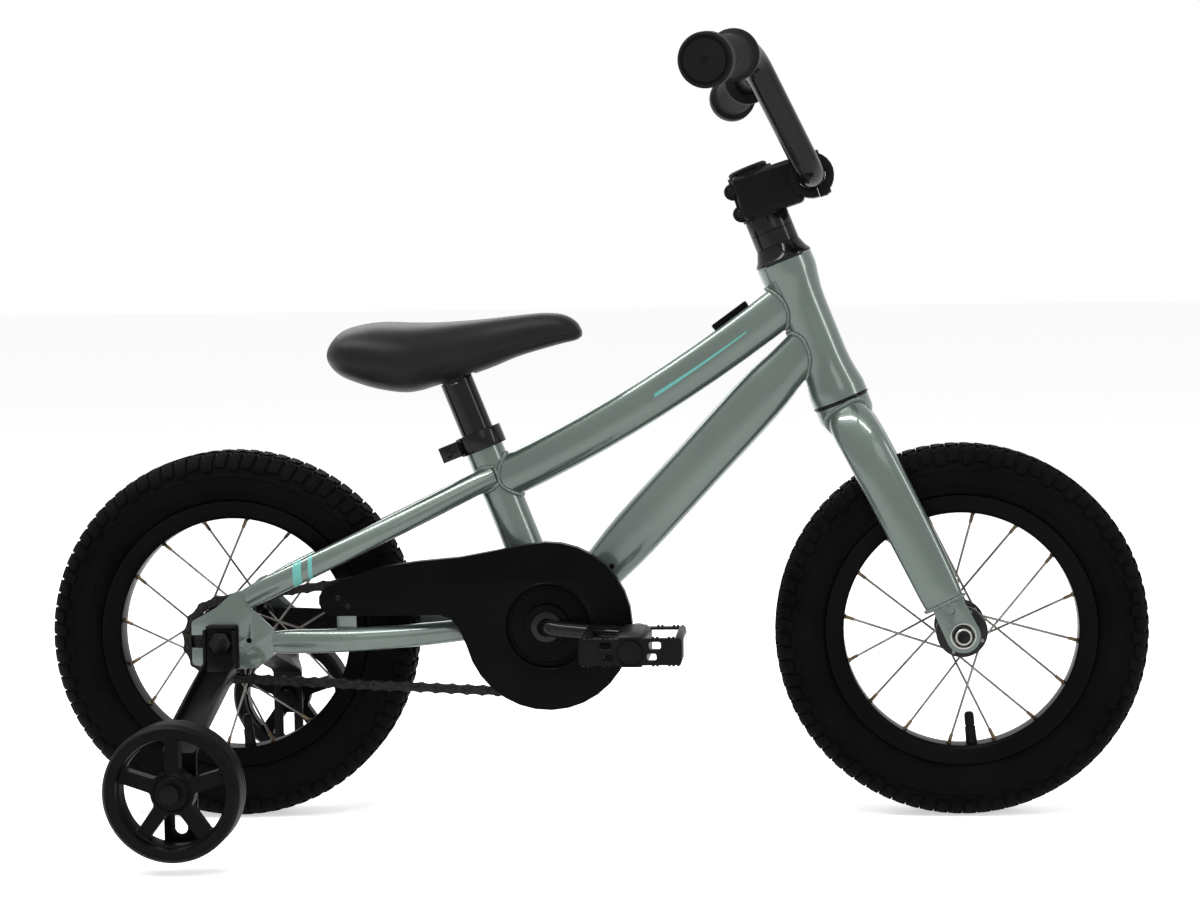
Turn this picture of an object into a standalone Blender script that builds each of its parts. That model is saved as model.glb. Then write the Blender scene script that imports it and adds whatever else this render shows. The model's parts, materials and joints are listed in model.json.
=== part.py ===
"""Kids bicycle with 12 inch wheels, coaster brake, chain guard and stabiliser wheels.

Metres. X runs forward, Y to the rider's left, Z up. The ground is Z = 0, and X = 0 is midway between the axles.
Side-view points are written as (x, z) pairs; |y| is the distance from the centre plane.
"""
import math

import bmesh
import bpy
from mathutils import Matrix, Vector

# Fits
GAP = 0.0003
BITE = 0.0001

# Wheels
TYRE_RADIUS = 0.1525
WHEELBASE = 0.6018
WHEEL_STEPS = 32
HUB_STEPS = 16
CROWN_HALF = 0.015
TYRE_HALF_WIDTH = 0.0262
TREAD_NOTCH = 0.0016
BEAD_RADIUS = 0.111
RIM_INNER_RADIUS = 0.096
RIM_HALF_WIDTH = 0.015
RIM_WALL = 0.0034
RIM_WELL_RADIUS = 0.1062
SPOKE_COUNT = 16
SPOKE_PHASE = 0.722
SPOKE_RADIUS = 0.0009
SPOKE_LEAN = math.radians(62)
SPOKE_HEAD_STEP = 0.0015
VALVE_RADIUS = 0.0046
VALVE_LENGTH = 0.026
VALVE_ANGLE = math.radians(-85)

# Axles and hubs
AXLE_RADIUS = 0.005
NUT_RADIUS = 0.0092
NUT_LENGTH = 0.006
LOCKNUT_RADIUS = 0.0085
FRONT_DROPOUT_IN = 0.0435
FRONT_DROPOUT_THICK = 0.005
FRONT_FLANGE_RADIUS = 0.021
FRONT_FLANGE_Y = 0.0225
FRONT_SHELL_RADIUS = 0.013
REAR_DROPOUT_IN = 0.0525
REAR_DROPOUT_THICK = 0.0045
REAR_FLANGE_RADIUS = 0.0285
REAR_FLANGE_Y = 0.0265
REAR_SHELL_RADIUS = 0.0215
FLANGE_THICK = 0.0034

# Drive train
PITCH = 0.0127
CHAINRING_TEETH = 28
SPROCKET_TEETH = 16
CHAINRING_PINS = 16
SPROCKET_PINS = 8
SPAN_LINKS = 21
CHAINLINE = 0.042
ROLLER_RADIUS = 0.0039
PLATE_HALF_HEIGHT = 0.0042
INNER_PLATE_Y = 0.00165
PLATE_THICK = 0.0010
PLATE_STEP = 0.0009
PLATE_WAIST_HALF = 0.0030
TOOTH_DISC_HALF = 0.0012
TOOTH_FOOT = 0.0026
TOOTH_TIP = 0.0009
TOOTH_LOW = -0.0036
TOOTH_HIGH = 0.0034
BOTTOM_BRACKET_Z = 0.163
CRANK_LENGTH = 0.075
CRANK_DROP = math.radians(5.5)
CRANK_IN = 0.058
CRANK_THICK = 0.012
CRANK_BOSS_RADIUS = 0.0145
CRANK_TIP_RADIUS = 0.0105
SPINDLE_RADIUS = 0.008
PEDAL_AXLE_RADIUS = 0.0055
PEDAL_IN = 0.077
PEDAL_WIDTH = 0.074
PEDAL_LENGTH = 0.081
PEDAL_HEIGHT = 0.024
PEDAL_EDGE = 0.008
PEDAL_GROOVE_Z = 0.0088
GUARD_OUT = 0.0545
GUARD_SKIN = 0.0022
GUARD_WALL = 0.0115
GUARD_AHEAD = 0.0010
GUARD_RADIUS = 0.0685
GUARD_HOLE_RADIUS = 0.0345

# Frame
HEAD_ANGLE = math.radians(68.5)
HEAD_TRAIL = 0.0969
HEAD_LOW_Z = 0.342
HEAD_LENGTH = 0.1226
HEAD_COLLAR = 0.0098
HEAD_TAPER = 0.0353
HEAD_END_RADIUS = 0.0235
HEAD_WAIST_RADIUS = 0.0197
HEAD_BORE_RADIUS = 0.0165
SEAT_ANGLE = math.radians(68.65)
SEAT_TUBE_RADIUS = 0.0159
SEAT_TUBE_LENGTH = 0.165
SEAT_BORE_DEPTH = 0.105
SHELL_RADIUS = 0.020
SHELL_HALF = 0.034
SHELL_BORE_RADIUS = 0.0165
TOP_TUBE_DEPTH = 0.0355
TOP_TUBE_WIDTH = 0.031
DOWN_TUBE_DEPTH = 0.0425
DOWN_TUBE_WIDTH = 0.039
TUBE_SIDES = 14
STAY_SIDES = 12
SEATSTAY_DEPTH = 0.0185
CHAINSTAY_DEPTH = 0.0195
STAY_WIDTH = 0.0145

# Fork, headset and stem
STEERER_RADIUS = 0.0143
CROWN_LENGTH = 0.027
LEG_TIP_RADIUS = 0.014
STEM_BASE = 0.0395
STEM_HEIGHT = 0.0385
STEM_CLAMP_RADIUS = 0.0195
BAR_RADIUS = 0.0111
BAR_AHEAD = 0.0229
BAR_RISE = 0.0689
BAR_CLAMP_RADIUS = 0.0185
BAR_CLAMP_HALF = 0.022
SPACER_RADIUS = 0.0182
HEADSET_STEPS = 18

# Handlebar
BAR_STRAIGHT_HALF = 0.047
BAR_BEND_RADIUS = 0.034
RISER_TOP = (-0.0460, 0.110, 0.0930)
BAR_END = (-0.0735, 0.2595, 0.0773)
GRIP_LENGTH = 0.0966
GRIP_RADIUS = 0.0165
GRIP_FLANGE_RADIUS = 0.0225
GRIP_END_RADIUS = 0.0205
GRIP_STEPS = 16
BAR_SIDES = 10

# Saddle and seatpost
POST_RADIUS = 0.0135
POST_LOW = 0.085
SADDLE_PIVOT_Z = 0.372
BARREL_RADIUS = 0.014
BARREL_HALF = 0.020

# Stabilisers
STABILISER_BEHIND = 0.0011
STABILISER_Z = 0.0631
STABILISER_RADIUS = 0.0527
STABILISER_OUT = 0.242
STABILISER_WIDTH = 0.0287
STABILISER_RING_INNER = 0.042
STABILISER_SPOKES = 5
STABILISER_STEPS = 20
STABILISER_BOSS_RADIUS = 0.0130
ARM_THICK = 0.003
ARM_HALF_WIDTH = 0.013
ARM_FLANGE = 0.0022
ARM_FOOT_Y = 0.206
FLAT_EDGE = 0.0004
BOLT_RADIUS = 0.0048
BOLT_NUT_RADIUS = 0.0075
SLOT_LOW_Z = STABILISER_Z - 0.0371
SLOT_HIGH_Z = STABILISER_Z + 0.0159

# Lower arm down to its foot: inset from the foot, height above the wheel centre and depth of its edges
ARM_SHAPE = ((0.0880, 0.0489, 0.0090), (0.0300, 0.0337, 0.0080), (0.0100, 0.0279, 0.0050),
             (0.0015, 0.0234, 0.0020), (0, 0.0169, FLAT_EDGE), (0, -0.0441, FLAT_EDGE))

REAR_X = -WHEELBASE / 2
STABILISER_X = REAR_X - STABILISER_BEHIND
FRONT_X = WHEELBASE / 2
AXLE_Z = TYRE_RADIUS
SIDES = (("right", -1), ("left", 1))


def polygon_radius(radius, steps):
    """Corner radius of a regular polygon whose flats stand at the given radius."""
    return radius / math.cos(math.pi / steps)


def bore_radius(shaft, steps):
    return polygon_radius(shaft + GAP, steps)


def pitch_radius(teeth):
    return PITCH / (2 * math.sin(math.pi / teeth))


def drive_centres():
    """Centre distance that makes both chain runs a whole number of links."""
    ring_angle = (CHAINRING_PINS - 1) * math.pi / CHAINRING_TEETH
    sprocket_angle = (SPROCKET_PINS - 1) * math.pi / SPROCKET_TEETH
    ring_radius = pitch_radius(CHAINRING_TEETH)
    cog_radius = pitch_radius(SPROCKET_TEETH)
    rise = ring_radius * math.sin(ring_angle) - cog_radius * math.sin(sprocket_angle)
    slide = ring_radius * math.cos(ring_angle) + cog_radius * math.cos(sprocket_angle)
    return math.sqrt((SPAN_LINKS * PITCH) ** 2 - rise ** 2) - slide


BRACKET_RISE = BOTTOM_BRACKET_Z - AXLE_Z
DRIVE_CENTRES = drive_centres()
BRACKET_X = REAR_X + math.sqrt(DRIVE_CENTRES ** 2 - BRACKET_RISE ** 2)
DRIVE_ANGLE = math.asin(BRACKET_RISE / DRIVE_CENTRES)
REAR_AXLE = Vector((REAR_X, 0, AXLE_Z))
FRONT_AXLE = Vector((FRONT_X, 0, AXLE_Z))
HEAD_AXIS = Vector((-math.cos(HEAD_ANGLE), 0, math.sin(HEAD_ANGLE)))
HEAD_NORMAL = Vector((math.sin(HEAD_ANGLE), 0, math.cos(HEAD_ANGLE)))
HEAD_BASE = Vector((FRONT_X - HEAD_TRAIL, 0, HEAD_LOW_Z))
HEAD_TOP = HEAD_BASE + HEAD_AXIS * HEAD_LENGTH
BAR_CENTRE = (HEAD_TOP.x + BAR_AHEAD, HEAD_TOP.z + BAR_RISE)
SEAT_AXIS = Vector((-math.cos(SEAT_ANGLE), 0, math.sin(SEAT_ANGLE)))
SEAT_NORMAL = Vector((math.sin(SEAT_ANGLE), 0, math.cos(SEAT_ANGLE)))
BRACKET = Vector((BRACKET_X, 0, BOTTOM_BRACKET_Z))
SADDLE_PIVOT = BRACKET + SEAT_AXIS * ((SADDLE_PIVOT_Z - BOTTOM_BRACKET_Z) / SEAT_AXIS.z)
HEAD_TURN = (0, HEAD_ANGLE - math.pi / 2, 0)
SEAT_TURN = (0, SEAT_ANGLE - math.pi / 2, 0)
WHEEL_TURN = (math.pi / 2, 0, 0)

for item in list(bpy.data.objects):
    bpy.data.objects.remove(item, do_unlink=True)


def make_material(name, color, roughness, metallic):
    made = bpy.data.materials.new(name)
    made.use_nodes = True
    shader = made.node_tree.nodes["Principled BSDF"]
    shader.inputs["Base Color"].default_value = (*color, 1)
    shader.inputs["Roughness"].default_value = roughness
    shader.inputs["Metallic"].default_value = metallic
    return made


SAGE = make_material("sage_paint", (0.235, 0.290, 0.255), 0.34, 0.55)
BLACK_METAL = make_material("black_metal", (0.012, 0.012, 0.013), 0.38, 0.30)
BLACK_PLASTIC = make_material("black_plastic", (0.014, 0.014, 0.014), 0.55, 0.0)
STEEL = make_material("zinc_steel", (0.42, 0.42, 0.41), 0.36, 1.0)
DARK_STEEL = make_material("dark_steel", (0.060, 0.058, 0.055), 0.40, 0.9)
TYRE_BLACK = make_material("tyre_rubber", (0.016, 0.016, 0.016), 0.82, 0.0)
GRIP_BLACK = make_material("grip_rubber", (0.020, 0.020, 0.020), 0.75, 0.0)
SADDLE_BLACK = make_material("saddle_cover", (0.018, 0.018, 0.018), 0.58, 0.0)


def finish(name, form, material, at=(0, 0, 0), turn=(0, 0, 0), smooth=True):
    """Turn an edited mesh into a named object."""
    bmesh.ops.recalc_face_normals(form, faces=form.faces)
    mesh = bpy.data.meshes.new(name)
    form.to_mesh(mesh)
    form.free()
    if material is not None:
        mesh.materials.append(material)
    made = bpy.data.objects.new(name, mesh)
    bpy.context.scene.collection.objects.link(made)
    made.location = at
    made.rotation_euler = turn
    if smooth:
        mesh.shade_smooth()
        mesh.set_sharp_from_angle(angle=math.radians(38))
    return made


def lathe(name, profile, steps, material, at=(0, 0, 0), turn=(0, 0, 0), half_step=False):
    """Spin (radius, height) points about the piece's own Z; a profile off the axis is closed on itself."""
    form = bmesh.new()
    start = math.pi / steps if half_step else 0.0
    corners = [form.verts.new((radius * math.cos(start), radius * math.sin(start), height)) for radius,
               height in profile]
    edges = [form.edges.new(pair) for pair in zip(corners, corners[1:])]
    if profile[0][0] > 0:
        edges.append(form.edges.new((corners[-1], corners[0])))
    bmesh.ops.spin(form, geom=corners + edges, cent=(0, 0, 0), axis=(0, 0, 1), angle=2 * math.pi, steps=steps,
                    use_merge=True)
    bmesh.ops.remove_doubles(form, verts=form.verts, dist=1e-7)
    return finish(name, form, material, at, turn)


def rod(name, radius, low, high, steps, material, at=(0, 0, 0), turn=(0, 0, 0)):
    return lathe(name, [(0, low), (radius, low), (radius, high), (0, high)], steps, material, at, turn)


def loft(name, rings, material, at=(0, 0, 0), turn=(0, 0, 0)):
    """Skin equal rings of points and close both ends."""
    form = bmesh.new()
    loops = [[form.verts.new(point) for point in ring] for ring in rings]
    for near, far in zip(loops, loops[1:]):
        for step in range(len(near)):
            form.faces.new((near[step], near[step - 1], far[step - 1], far[step]))
    form.faces.new(loops[0])
    form.faces.new(list(reversed(loops[-1])))
    return finish(name, form, material, at, turn)


def plate(name, outline, low, high, material, at=(0, 0, 0), turn=(0, 0, 0)):
    """Stand an (x, z) outline up along Y between two distances."""
    form = bmesh.new()
    near = [form.verts.new((x, low, z)) for x, z in outline]
    base = form.faces.new(near)
    raised = bmesh.ops.extrude_face_region(form, geom=[base])["geom"]
    bmesh.ops.translate(form, verts=[v for v in raised if isinstance(v, bmesh.types.BMVert)],
                        vec=(0, high - low, 0))
    return finish(name, form, material, at, turn)


def box(name, low, high, material):
    outline = [(low[0], low[2]), (high[0], low[2]), (high[0], high[2]), (low[0], high[2])]
    return plate(name, outline, low[1], high[1], material)


def soften(piece, width, segments=1, angle=30):
    bevel = piece.modifiers.new("soft_edges", "BEVEL")
    bevel.width = width
    bevel.segments = segments
    bevel.limit_method = "ANGLE"
    bevel.angle_limit = math.radians(angle)
    return piece


def combine(piece, tool, operation):
    change = piece.modifiers.new(operation.lower() + "_" + tool.name, "BOOLEAN")
    change.operation = operation
    change.solver = "EXACT"
    change.object = tool
    tool.hide_render = True
    tool.display_type = "WIRE"
    return piece


def cut(piece, *tools):
    for tool in tools:
        combine(piece, tool, "DIFFERENCE")
    return piece


def fuse(piece, *tools):
    for tool in tools:
        combine(piece, tool, "UNION")
    return piece


def circle(centre, radius, start, end, steps):
    """Points of an arc in the side view, both ends included; angles in degrees."""
    points = []
    for step in range(steps + 1):
        angle = math.radians(start + (end - start) * step / steps)
        points.append((centre[0] + radius * math.cos(angle), centre[1] + radius * math.sin(angle)))
    return points


def rounded(outline, radius, steps=3):
    """Replace every corner of an outline by an arc as large as its edges allow."""
    points = []
    count = len(outline)
    for index in range(count):
        corner = Vector(outline[index])
        back = Vector(outline[index - 1]) - corner
        ahead = Vector(outline[(index + 1) % count]) - corner
        half = back.angle(ahead) / 2
        reach = min(radius / math.tan(half), back.length * 0.45, ahead.length * 0.45)
        first = corner + back.normalized() * reach
        last = corner + ahead.normalized() * reach
        centre = corner + (back.normalized() + ahead.normalized()).normalized() * (reach / math.cos(half))
        sweep = (first - centre).angle_signed(last - centre)
        for step in range(steps + 1):
            arm = (first - centre).copy()
            arm.rotate(Matrix.Rotation(-sweep * step / steps, 2))
            points.append(tuple(centre + arm))
    return points


def grown(outline, distance):
    """Move an outline's edges outward (counter-clockwise outline) by a distance."""
    points = []
    count = len(outline)
    for index in range(count):
        before = Vector(outline[index]) - Vector(outline[index - 1])
        after = Vector(outline[(index + 1) % count]) - Vector(outline[index])
        first = Vector((before.y, -before.x)).normalized()
        second = Vector((after.y, -after.x)).normalized()
        points.append(tuple(Vector(outline[index]) + (first + second) * (distance / (1 + first.dot(second)))))
    return points


def capsule(first, first_radius, second, second_radius, steps):
    """Outline of two discs and their common tangents."""
    line = Vector(second) - Vector(first)
    heading = math.degrees(math.atan2(line.y, line.x))
    lean = math.degrees(math.acos((first_radius - second_radius) / line.length))
    ahead = circle(second, second_radius, heading - lean, heading + lean, steps)
    behind = circle(first, first_radius, heading + lean, heading + 360 - lean, steps)
    return ahead + behind


def section(centre, across, up, half_width, half_depth, sides=TUBE_SIDES, square=2.0):
    """Closed oval; a higher square value makes it boxier."""
    ring = []
    for side in range(sides):
        angle = 2 * math.pi * (side + 0.5) / sides
        wide = math.copysign(abs(math.cos(angle)) ** (2 / square), math.cos(angle)) * half_width
        deep = math.copysign(abs(math.sin(angle)) ** (2 / square), math.sin(angle)) * half_depth
        ring.append(Vector(centre) + Vector(across) * wide + Vector(up) * deep)
    return ring


def tube_rings(stations, sides=TUBE_SIDES, square=2.0, grow=0.0):
    """Rings square to a centre line; each station is (x, y, z, depth, width)."""
    rings = []
    for index, (x, y, z, depth, width) in enumerate(stations):
        before = Vector(stations[max(index - 1, 0)][:3])
        after = Vector(stations[min(index + 1, len(stations) - 1)][:3])
        along = (after - before).normalized()
        across = Vector((0, 1, 0))
        across = (across - along * across.dot(along)).normalized()
        up = along.cross(across)
        rings.append(section((x, y, z), across, up, width / 2 + grow, depth / 2 + grow, sides, square))
    return rings


def pipe_rings(path, radius, sides):
    """Round rings along a path, carried along without twist."""
    rings = []
    along = (path[1] - path[0]).normalized()
    across = along.cross(Vector((0, 0, 1))).normalized()
    for index, point in enumerate(path):
        before = path[max(index - 1, 0)]
        after = path[min(index + 1, len(path) - 1)]
        heading = (after - before).normalized()
        across = (across - heading * across.dot(heading)).normalized()
        rings.append(section(point, across, heading.cross(across), radius, radius, sides))
    return rings


def bent(corners, radius, steps):
    """Centre line through corner points with a round bend at every inner corner."""
    path = [Vector(corners[0])]
    for before, corner, after in zip(corners, corners[1:], corners[2:]):
        corner = Vector(corner)
        back = (Vector(before) - corner).normalized()
        ahead = (Vector(after) - corner).normalized()
        half = back.angle(ahead) / 2
        reach = radius / math.tan(half)
        middle = (back + ahead).normalized()
        centre = corner + middle * (radius / math.sin(half))
        first = corner + back * reach - centre
        normal = back.cross(ahead).normalized()
        sweep = math.pi - 2 * half
        for step in range(steps + 1):
            path.append(centre + Matrix.Rotation(-sweep * step / steps, 3, normal) @ first)
    path.append(Vector(corners[-1]))
    return path


def group(name, at, pieces):
    """Hang a moving body's pieces on an empty that stands on its joint axis."""
    pivot = bpy.data.objects.new(name, None)
    bpy.context.scene.collection.objects.link(pivot)
    pivot.location = at
    back = Matrix.Translation(-Vector(at))
    for piece in pieces:
        piece.parent = pivot
        piece.matrix_parent_inverse = back
    return pivot


def on_axis(distance):
    """Point on the steering axis, measured up from the top of the head tube."""
    return HEAD_TOP + HEAD_AXIS * distance


# Head tube, seat tube and bottom bracket shell
def head_profile(grow=0.0, bore=None):
    ends = HEAD_END_RADIUS + grow
    waist = HEAD_WAIST_RADIUS + grow
    outer = [(ends, -grow), (ends, HEAD_COLLAR), (waist, HEAD_TAPER), (waist, HEAD_LENGTH - HEAD_TAPER),
             (ends, HEAD_LENGTH - HEAD_COLLAR), (ends, HEAD_LENGTH + grow)]
    inner = bore if bore else 0
    return [(inner, -grow)] + outer + [(inner, HEAD_LENGTH + grow)]


head_tube = lathe("head_tube", head_profile(bore=HEAD_BORE_RADIUS), HEADSET_STEPS, SAGE, HEAD_BASE,
                  HEAD_TURN)
head_form = lathe("head_form", head_profile(GAP), HEADSET_STEPS, None, HEAD_BASE, HEAD_TURN)
shell = lathe("bottom_bracket_shell",
              [(SHELL_BORE_RADIUS, -SHELL_HALF), (SHELL_RADIUS, -SHELL_HALF), (SHELL_RADIUS, SHELL_HALF),
               (SHELL_BORE_RADIUS, SHELL_HALF)], HUB_STEPS, SAGE, BRACKET, WHEEL_TURN)
shell_form = rod("shell_form", polygon_radius(SHELL_RADIUS, HUB_STEPS) + GAP, -SHELL_HALF - GAP,
                 SHELL_HALF + GAP, HUB_STEPS, None, BRACKET, WHEEL_TURN)

post_bore = bore_radius(POST_RADIUS, 20)
seat_tube = lathe("seat_tube",
                  [(0, 0.012), (SEAT_TUBE_RADIUS, 0.012), (SEAT_TUBE_RADIUS, SEAT_TUBE_LENGTH),
                   (post_bore, SEAT_TUBE_LENGTH), (post_bore, SEAT_TUBE_LENGTH - SEAT_BORE_DEPTH),
                   (0, SEAT_TUBE_LENGTH - SEAT_BORE_DEPTH)], 20, SAGE, BRACKET, SEAT_TURN)
cut(seat_tube, shell_form)
seat_form = rod("seat_form", polygon_radius(SEAT_TUBE_RADIUS + GAP, 20), 0, SEAT_TUBE_LENGTH + 0.01, 20, None,
                 BRACKET, SEAT_TURN)

# Top tube with its gentle upward curve, and the down tube
TOP_TUBE_SEAT_RISE = SEAT_TUBE_LENGTH - 0.0426
TOP_TUBE_SEAT_INSET = 0.0055
TOP_TUBE_HEAD_RISE = 0.0920
TOP_TUBE_HEAD_INSET = 0.0068
TOP_TUBE_BOW = 0.0196
top_tube_rear = BRACKET + SEAT_AXIS * TOP_TUBE_SEAT_RISE + SEAT_NORMAL * TOP_TUBE_SEAT_INSET
top_tube_front = HEAD_BASE + HEAD_AXIS * TOP_TUBE_HEAD_RISE - HEAD_NORMAL * TOP_TUBE_HEAD_INSET


def top_tube_point(share):
    """Point on the bowed centre line of the top tube."""
    knee = (top_tube_rear + top_tube_front) / 2 - Vector((0, 0, TOP_TUBE_BOW))
    return top_tube_rear.lerp(knee, share).lerp(knee.lerp(top_tube_front, share), share)


def top_tube_stations():
    points = [top_tube_point(share) for share in (0, 0.130, 0.322, 0.515, 0.707, 0.900, 1)]
    return [(*point, TOP_TUBE_DEPTH, TOP_TUBE_WIDTH) for point in points]


top_tube = loft("top_tube", tube_rings(top_tube_stations(), square=2.5), SAGE)
top_tube_form = loft("top_tube_form", tube_rings(top_tube_stations(), square=2.5, grow=GAP), None)
cut(top_tube, head_form, seat_form)

DOWN_TUBE_HEAD_RISE = 0.0541
DOWN_TUBE_HEAD_INSET = 0.0023
down_tube_low = BRACKET + Vector((0.0095, 0, 0.0055))
down_tube_high = HEAD_BASE + HEAD_AXIS * DOWN_TUBE_HEAD_RISE - HEAD_NORMAL * DOWN_TUBE_HEAD_INSET
down_tube_shape = (
    (0, 0.0355, 0.037), (0.144, 0.037, 0.038), (0.289, DOWN_TUBE_DEPTH, DOWN_TUBE_WIDTH),
    (0.789, DOWN_TUBE_DEPTH, DOWN_TUBE_WIDTH), (0.904, 0.0365, 0.036), (1, 0.034, 0.034),
)
down_tube_stations = [(*down_tube_low.lerp(down_tube_high, share), depth, width) for share, depth,
                      width in down_tube_shape]
down_tube = loft("down_tube", tube_rings(down_tube_stations, square=2.8), SAGE)
cut(down_tube, head_form, shell_form, seat_form, top_tube_form)

PAD_PLACE = 0.8385
PAD_LENGTH = 0.0342
PAD_THICK = 0.0046
PAD_HALF_WIDTH = 0.008
pad_middle = top_tube_point(PAD_PLACE)
pad_along = (top_tube_point(PAD_PLACE + 0.05) - top_tube_point(PAD_PLACE - 0.05)).normalized()
pad_ends = [pad_middle - pad_along * (PAD_LENGTH / 2), pad_middle + pad_along * (PAD_LENGTH / 2)]
pad_up = pad_along.cross(Vector((0, 1, 0)))
pad_low = TOP_TUBE_DEPTH / 2 - 0.0030
pad_high = TOP_TUBE_DEPTH / 2 + PAD_THICK - 0.0007
pad_corners = [pad_ends[0] + pad_up * pad_low, pad_ends[1] + pad_up * pad_low,
               pad_ends[1] + pad_up * pad_high, pad_ends[0] + pad_up * pad_high]
top_tube_pad = plate("top_tube_pad", [(corner.x, corner.z) for corner in pad_corners], -PAD_HALF_WIDTH,
                     PAD_HALF_WIDTH, BLACK_PLASTIC)
cut(top_tube_pad, top_tube_form)

# Rear triangle
DROPOUT_SHAPE = ((-0.0256, -0.0190), (0.0009, -0.0240), (0.0289, -0.0215), (0.0424, -0.0110),
                 (0.0424, 0.0093), (0.0344, 0.0165), (0.0247, 0.0260), (0.0161, 0.0425), (0.0079, 0.0390),
                 (-0.0051, 0.0275), (-0.0256, 0.0165))
dropout_outline = [(REAR_X + x, AXLE_Z + z) for x, z in DROPOUT_SHAPE]
SLOT_HALF = AXLE_RADIUS + GAP
slot_outline = circle((REAR_X, AXLE_Z), polygon_radius(SLOT_HALF, 16), -90 + 11.25, 90 - 11.25, 7)
slot_outline += [(REAR_X - 0.039, AXLE_Z + SLOT_HALF), (REAR_X - 0.039, AXLE_Z - SLOT_HALF)]

SEATSTAY_JOIN_RISE = SEAT_TUBE_LENGTH - 0.0369
SEATSTAY_SHAPE = ((0, 0.0548, SEATSTAY_DEPTH - 0.002, 0.011), (0.082, 0.0562, SEATSTAY_DEPTH, 0.0135),
                  (0.182, 0.0560, SEATSTAY_DEPTH, STAY_WIDTH), (0.397, 0.0500, SEATSTAY_DEPTH, STAY_WIDTH),
                  (0.645, 0.0370, SEATSTAY_DEPTH, STAY_WIDTH), (0.919, 0.0185, SEATSTAY_DEPTH, STAY_WIDTH),
                  (1, 0.0120, SEATSTAY_DEPTH, STAY_WIDTH))
CHAINSTAY_SHAPE = ((0.162, 0.0548, -0.0026, CHAINSTAY_DEPTH - 0.002, 0.011),
                   (0.214, 0.0558, -0.0028, CHAINSTAY_DEPTH, 0.0135),
                   (0.343, 0.0550, -0.0036, CHAINSTAY_DEPTH, STAY_WIDTH),
                   (0.493, 0.0470, -0.0042, CHAINSTAY_DEPTH, STAY_WIDTH),
                   (0.644, 0.0365, -0.0038, CHAINSTAY_DEPTH - 0.001, STAY_WIDTH),
                   (0.795, 0.0265, -0.0024, CHAINSTAY_DEPTH - 0.002, STAY_WIDTH),
                   (0.953, 0.0210, -0.0020, CHAINSTAY_DEPTH - 0.003, STAY_WIDTH))


def seatstay_stations(sign):
    low = REAR_AXLE + Vector((0.0207, 0, 0.0348))
    high = BRACKET + SEAT_AXIS * SEATSTAY_JOIN_RISE
    points = [low.lerp(high, share) for share, y, depth, width in SEATSTAY_SHAPE]
    return [(point.x, sign * y, point.z, depth, width) for point,
            (share, y, depth, width) in zip(points, SEATSTAY_SHAPE)]


def chainstay_stations(sign, first=0, last=len(CHAINSTAY_SHAPE)):
    stations = []
    for share, y, droop, depth, width in CHAINSTAY_SHAPE[first:last]:
        point = REAR_AXLE.lerp(BRACKET, share)
        stations.append((point.x, sign * y, point.z + droop, depth, width))
    return stations


rear_pieces = {}
for side, sign in SIDES:
    inner = sign * REAR_DROPOUT_IN
    outer = sign * (REAR_DROPOUT_IN + REAR_DROPOUT_THICK)
    dropout = plate(side + "_dropout", rounded(dropout_outline, 0.003, 2), inner, outer, SAGE)
    slot = plate(side + "_slot", slot_outline, sign * 0.04, sign * 0.07, None)
    vent = rod(side + "_vent", 0.0022, -0.07, 0.07, 10, None, REAR_AXLE + Vector((0.0214, 0, 0.0005)),
               WHEEL_TURN)
    cut(dropout, slot, vent)
    seatstay = loft(side + "_seatstay", tube_rings(seatstay_stations(sign), sides=STAY_SIDES), SAGE)
    cut(seatstay, seat_form)
    chainstay = loft(side + "_chainstay", tube_rings(chainstay_stations(sign), sides=STAY_SIDES), SAGE)
    cut(chainstay, shell_form, seat_form)
    rear_pieces[side] = (dropout, seatstay, chainstay)

BRIDGE_RADIUS = 0.0065
bridge_at = REAR_AXLE.lerp(BRACKET, 0.70) - Vector((0, 0, 0.0031))
bridge = rod("chainstay_bridge", BRIDGE_RADIUS, -0.034, 0.034, 12, SAGE, bridge_at, WHEEL_TURN)
for side, sign in SIDES:
    stay_form = loft(side + "_stay_form", tube_rings(chainstay_stations(sign, 3), sides=STAY_SIDES, grow=GAP),
                      None)
    outside = box(side + "_outside",
                  (bridge_at.x - 0.025, min(sign * 0.031, sign * 0.06), bridge_at.z - 0.017),
                  (bridge_at.x + 0.025, max(sign * 0.031, sign * 0.06), bridge_at.z + 0.017), None)
    cut(bridge, stay_form, outside)

# Seat clamp
CLAMP_LOW = SEAT_TUBE_LENGTH - 0.0135
CLAMP_HIGH = SEAT_TUBE_LENGTH + 0.0018
CLAMP_RADIUS = 0.0197
collar_bore = bore_radius(SEAT_TUBE_RADIUS, 20)
seat_clamp = lathe("seat_clamp",
                   [(collar_bore, CLAMP_LOW), (CLAMP_RADIUS, CLAMP_LOW), (CLAMP_RADIUS, CLAMP_HIGH),
                    (collar_bore, CLAMP_HIGH)], 20, BLACK_METAL, BRACKET, SEAT_TURN)
ear = box("clamp_ear", (-0.0345, -0.0095, CLAMP_LOW + 0.0012), (-0.0175, 0.0095, CLAMP_HIGH - 0.0012), None)
ear.location = BRACKET
ear.rotation_euler = SEAT_TURN
ear_slot = box("clamp_slot", (-0.040, -0.001, CLAMP_LOW - 0.01), (-0.012, 0.001, CLAMP_HIGH + 0.01), None)
ear_slot.location = BRACKET
ear_slot.rotation_euler = SEAT_TURN
clamp_screw = rod("clamp_screw", 0.0026, -0.0115, 0.0115, 10, None)
screw_place = Matrix.Translation((-0.0272, 0, (CLAMP_LOW + CLAMP_HIGH) / 2)) @ Matrix.Rotation(math.pi / 2, 4,
                                                                                                "X")
clamp_screw.matrix_world = Matrix.Translation(BRACKET) @ Matrix.Rotation(SEAT_TURN[1], 4, "Y") @ screw_place
fuse(seat_clamp, ear)
cut(seat_clamp, ear_slot)
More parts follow.
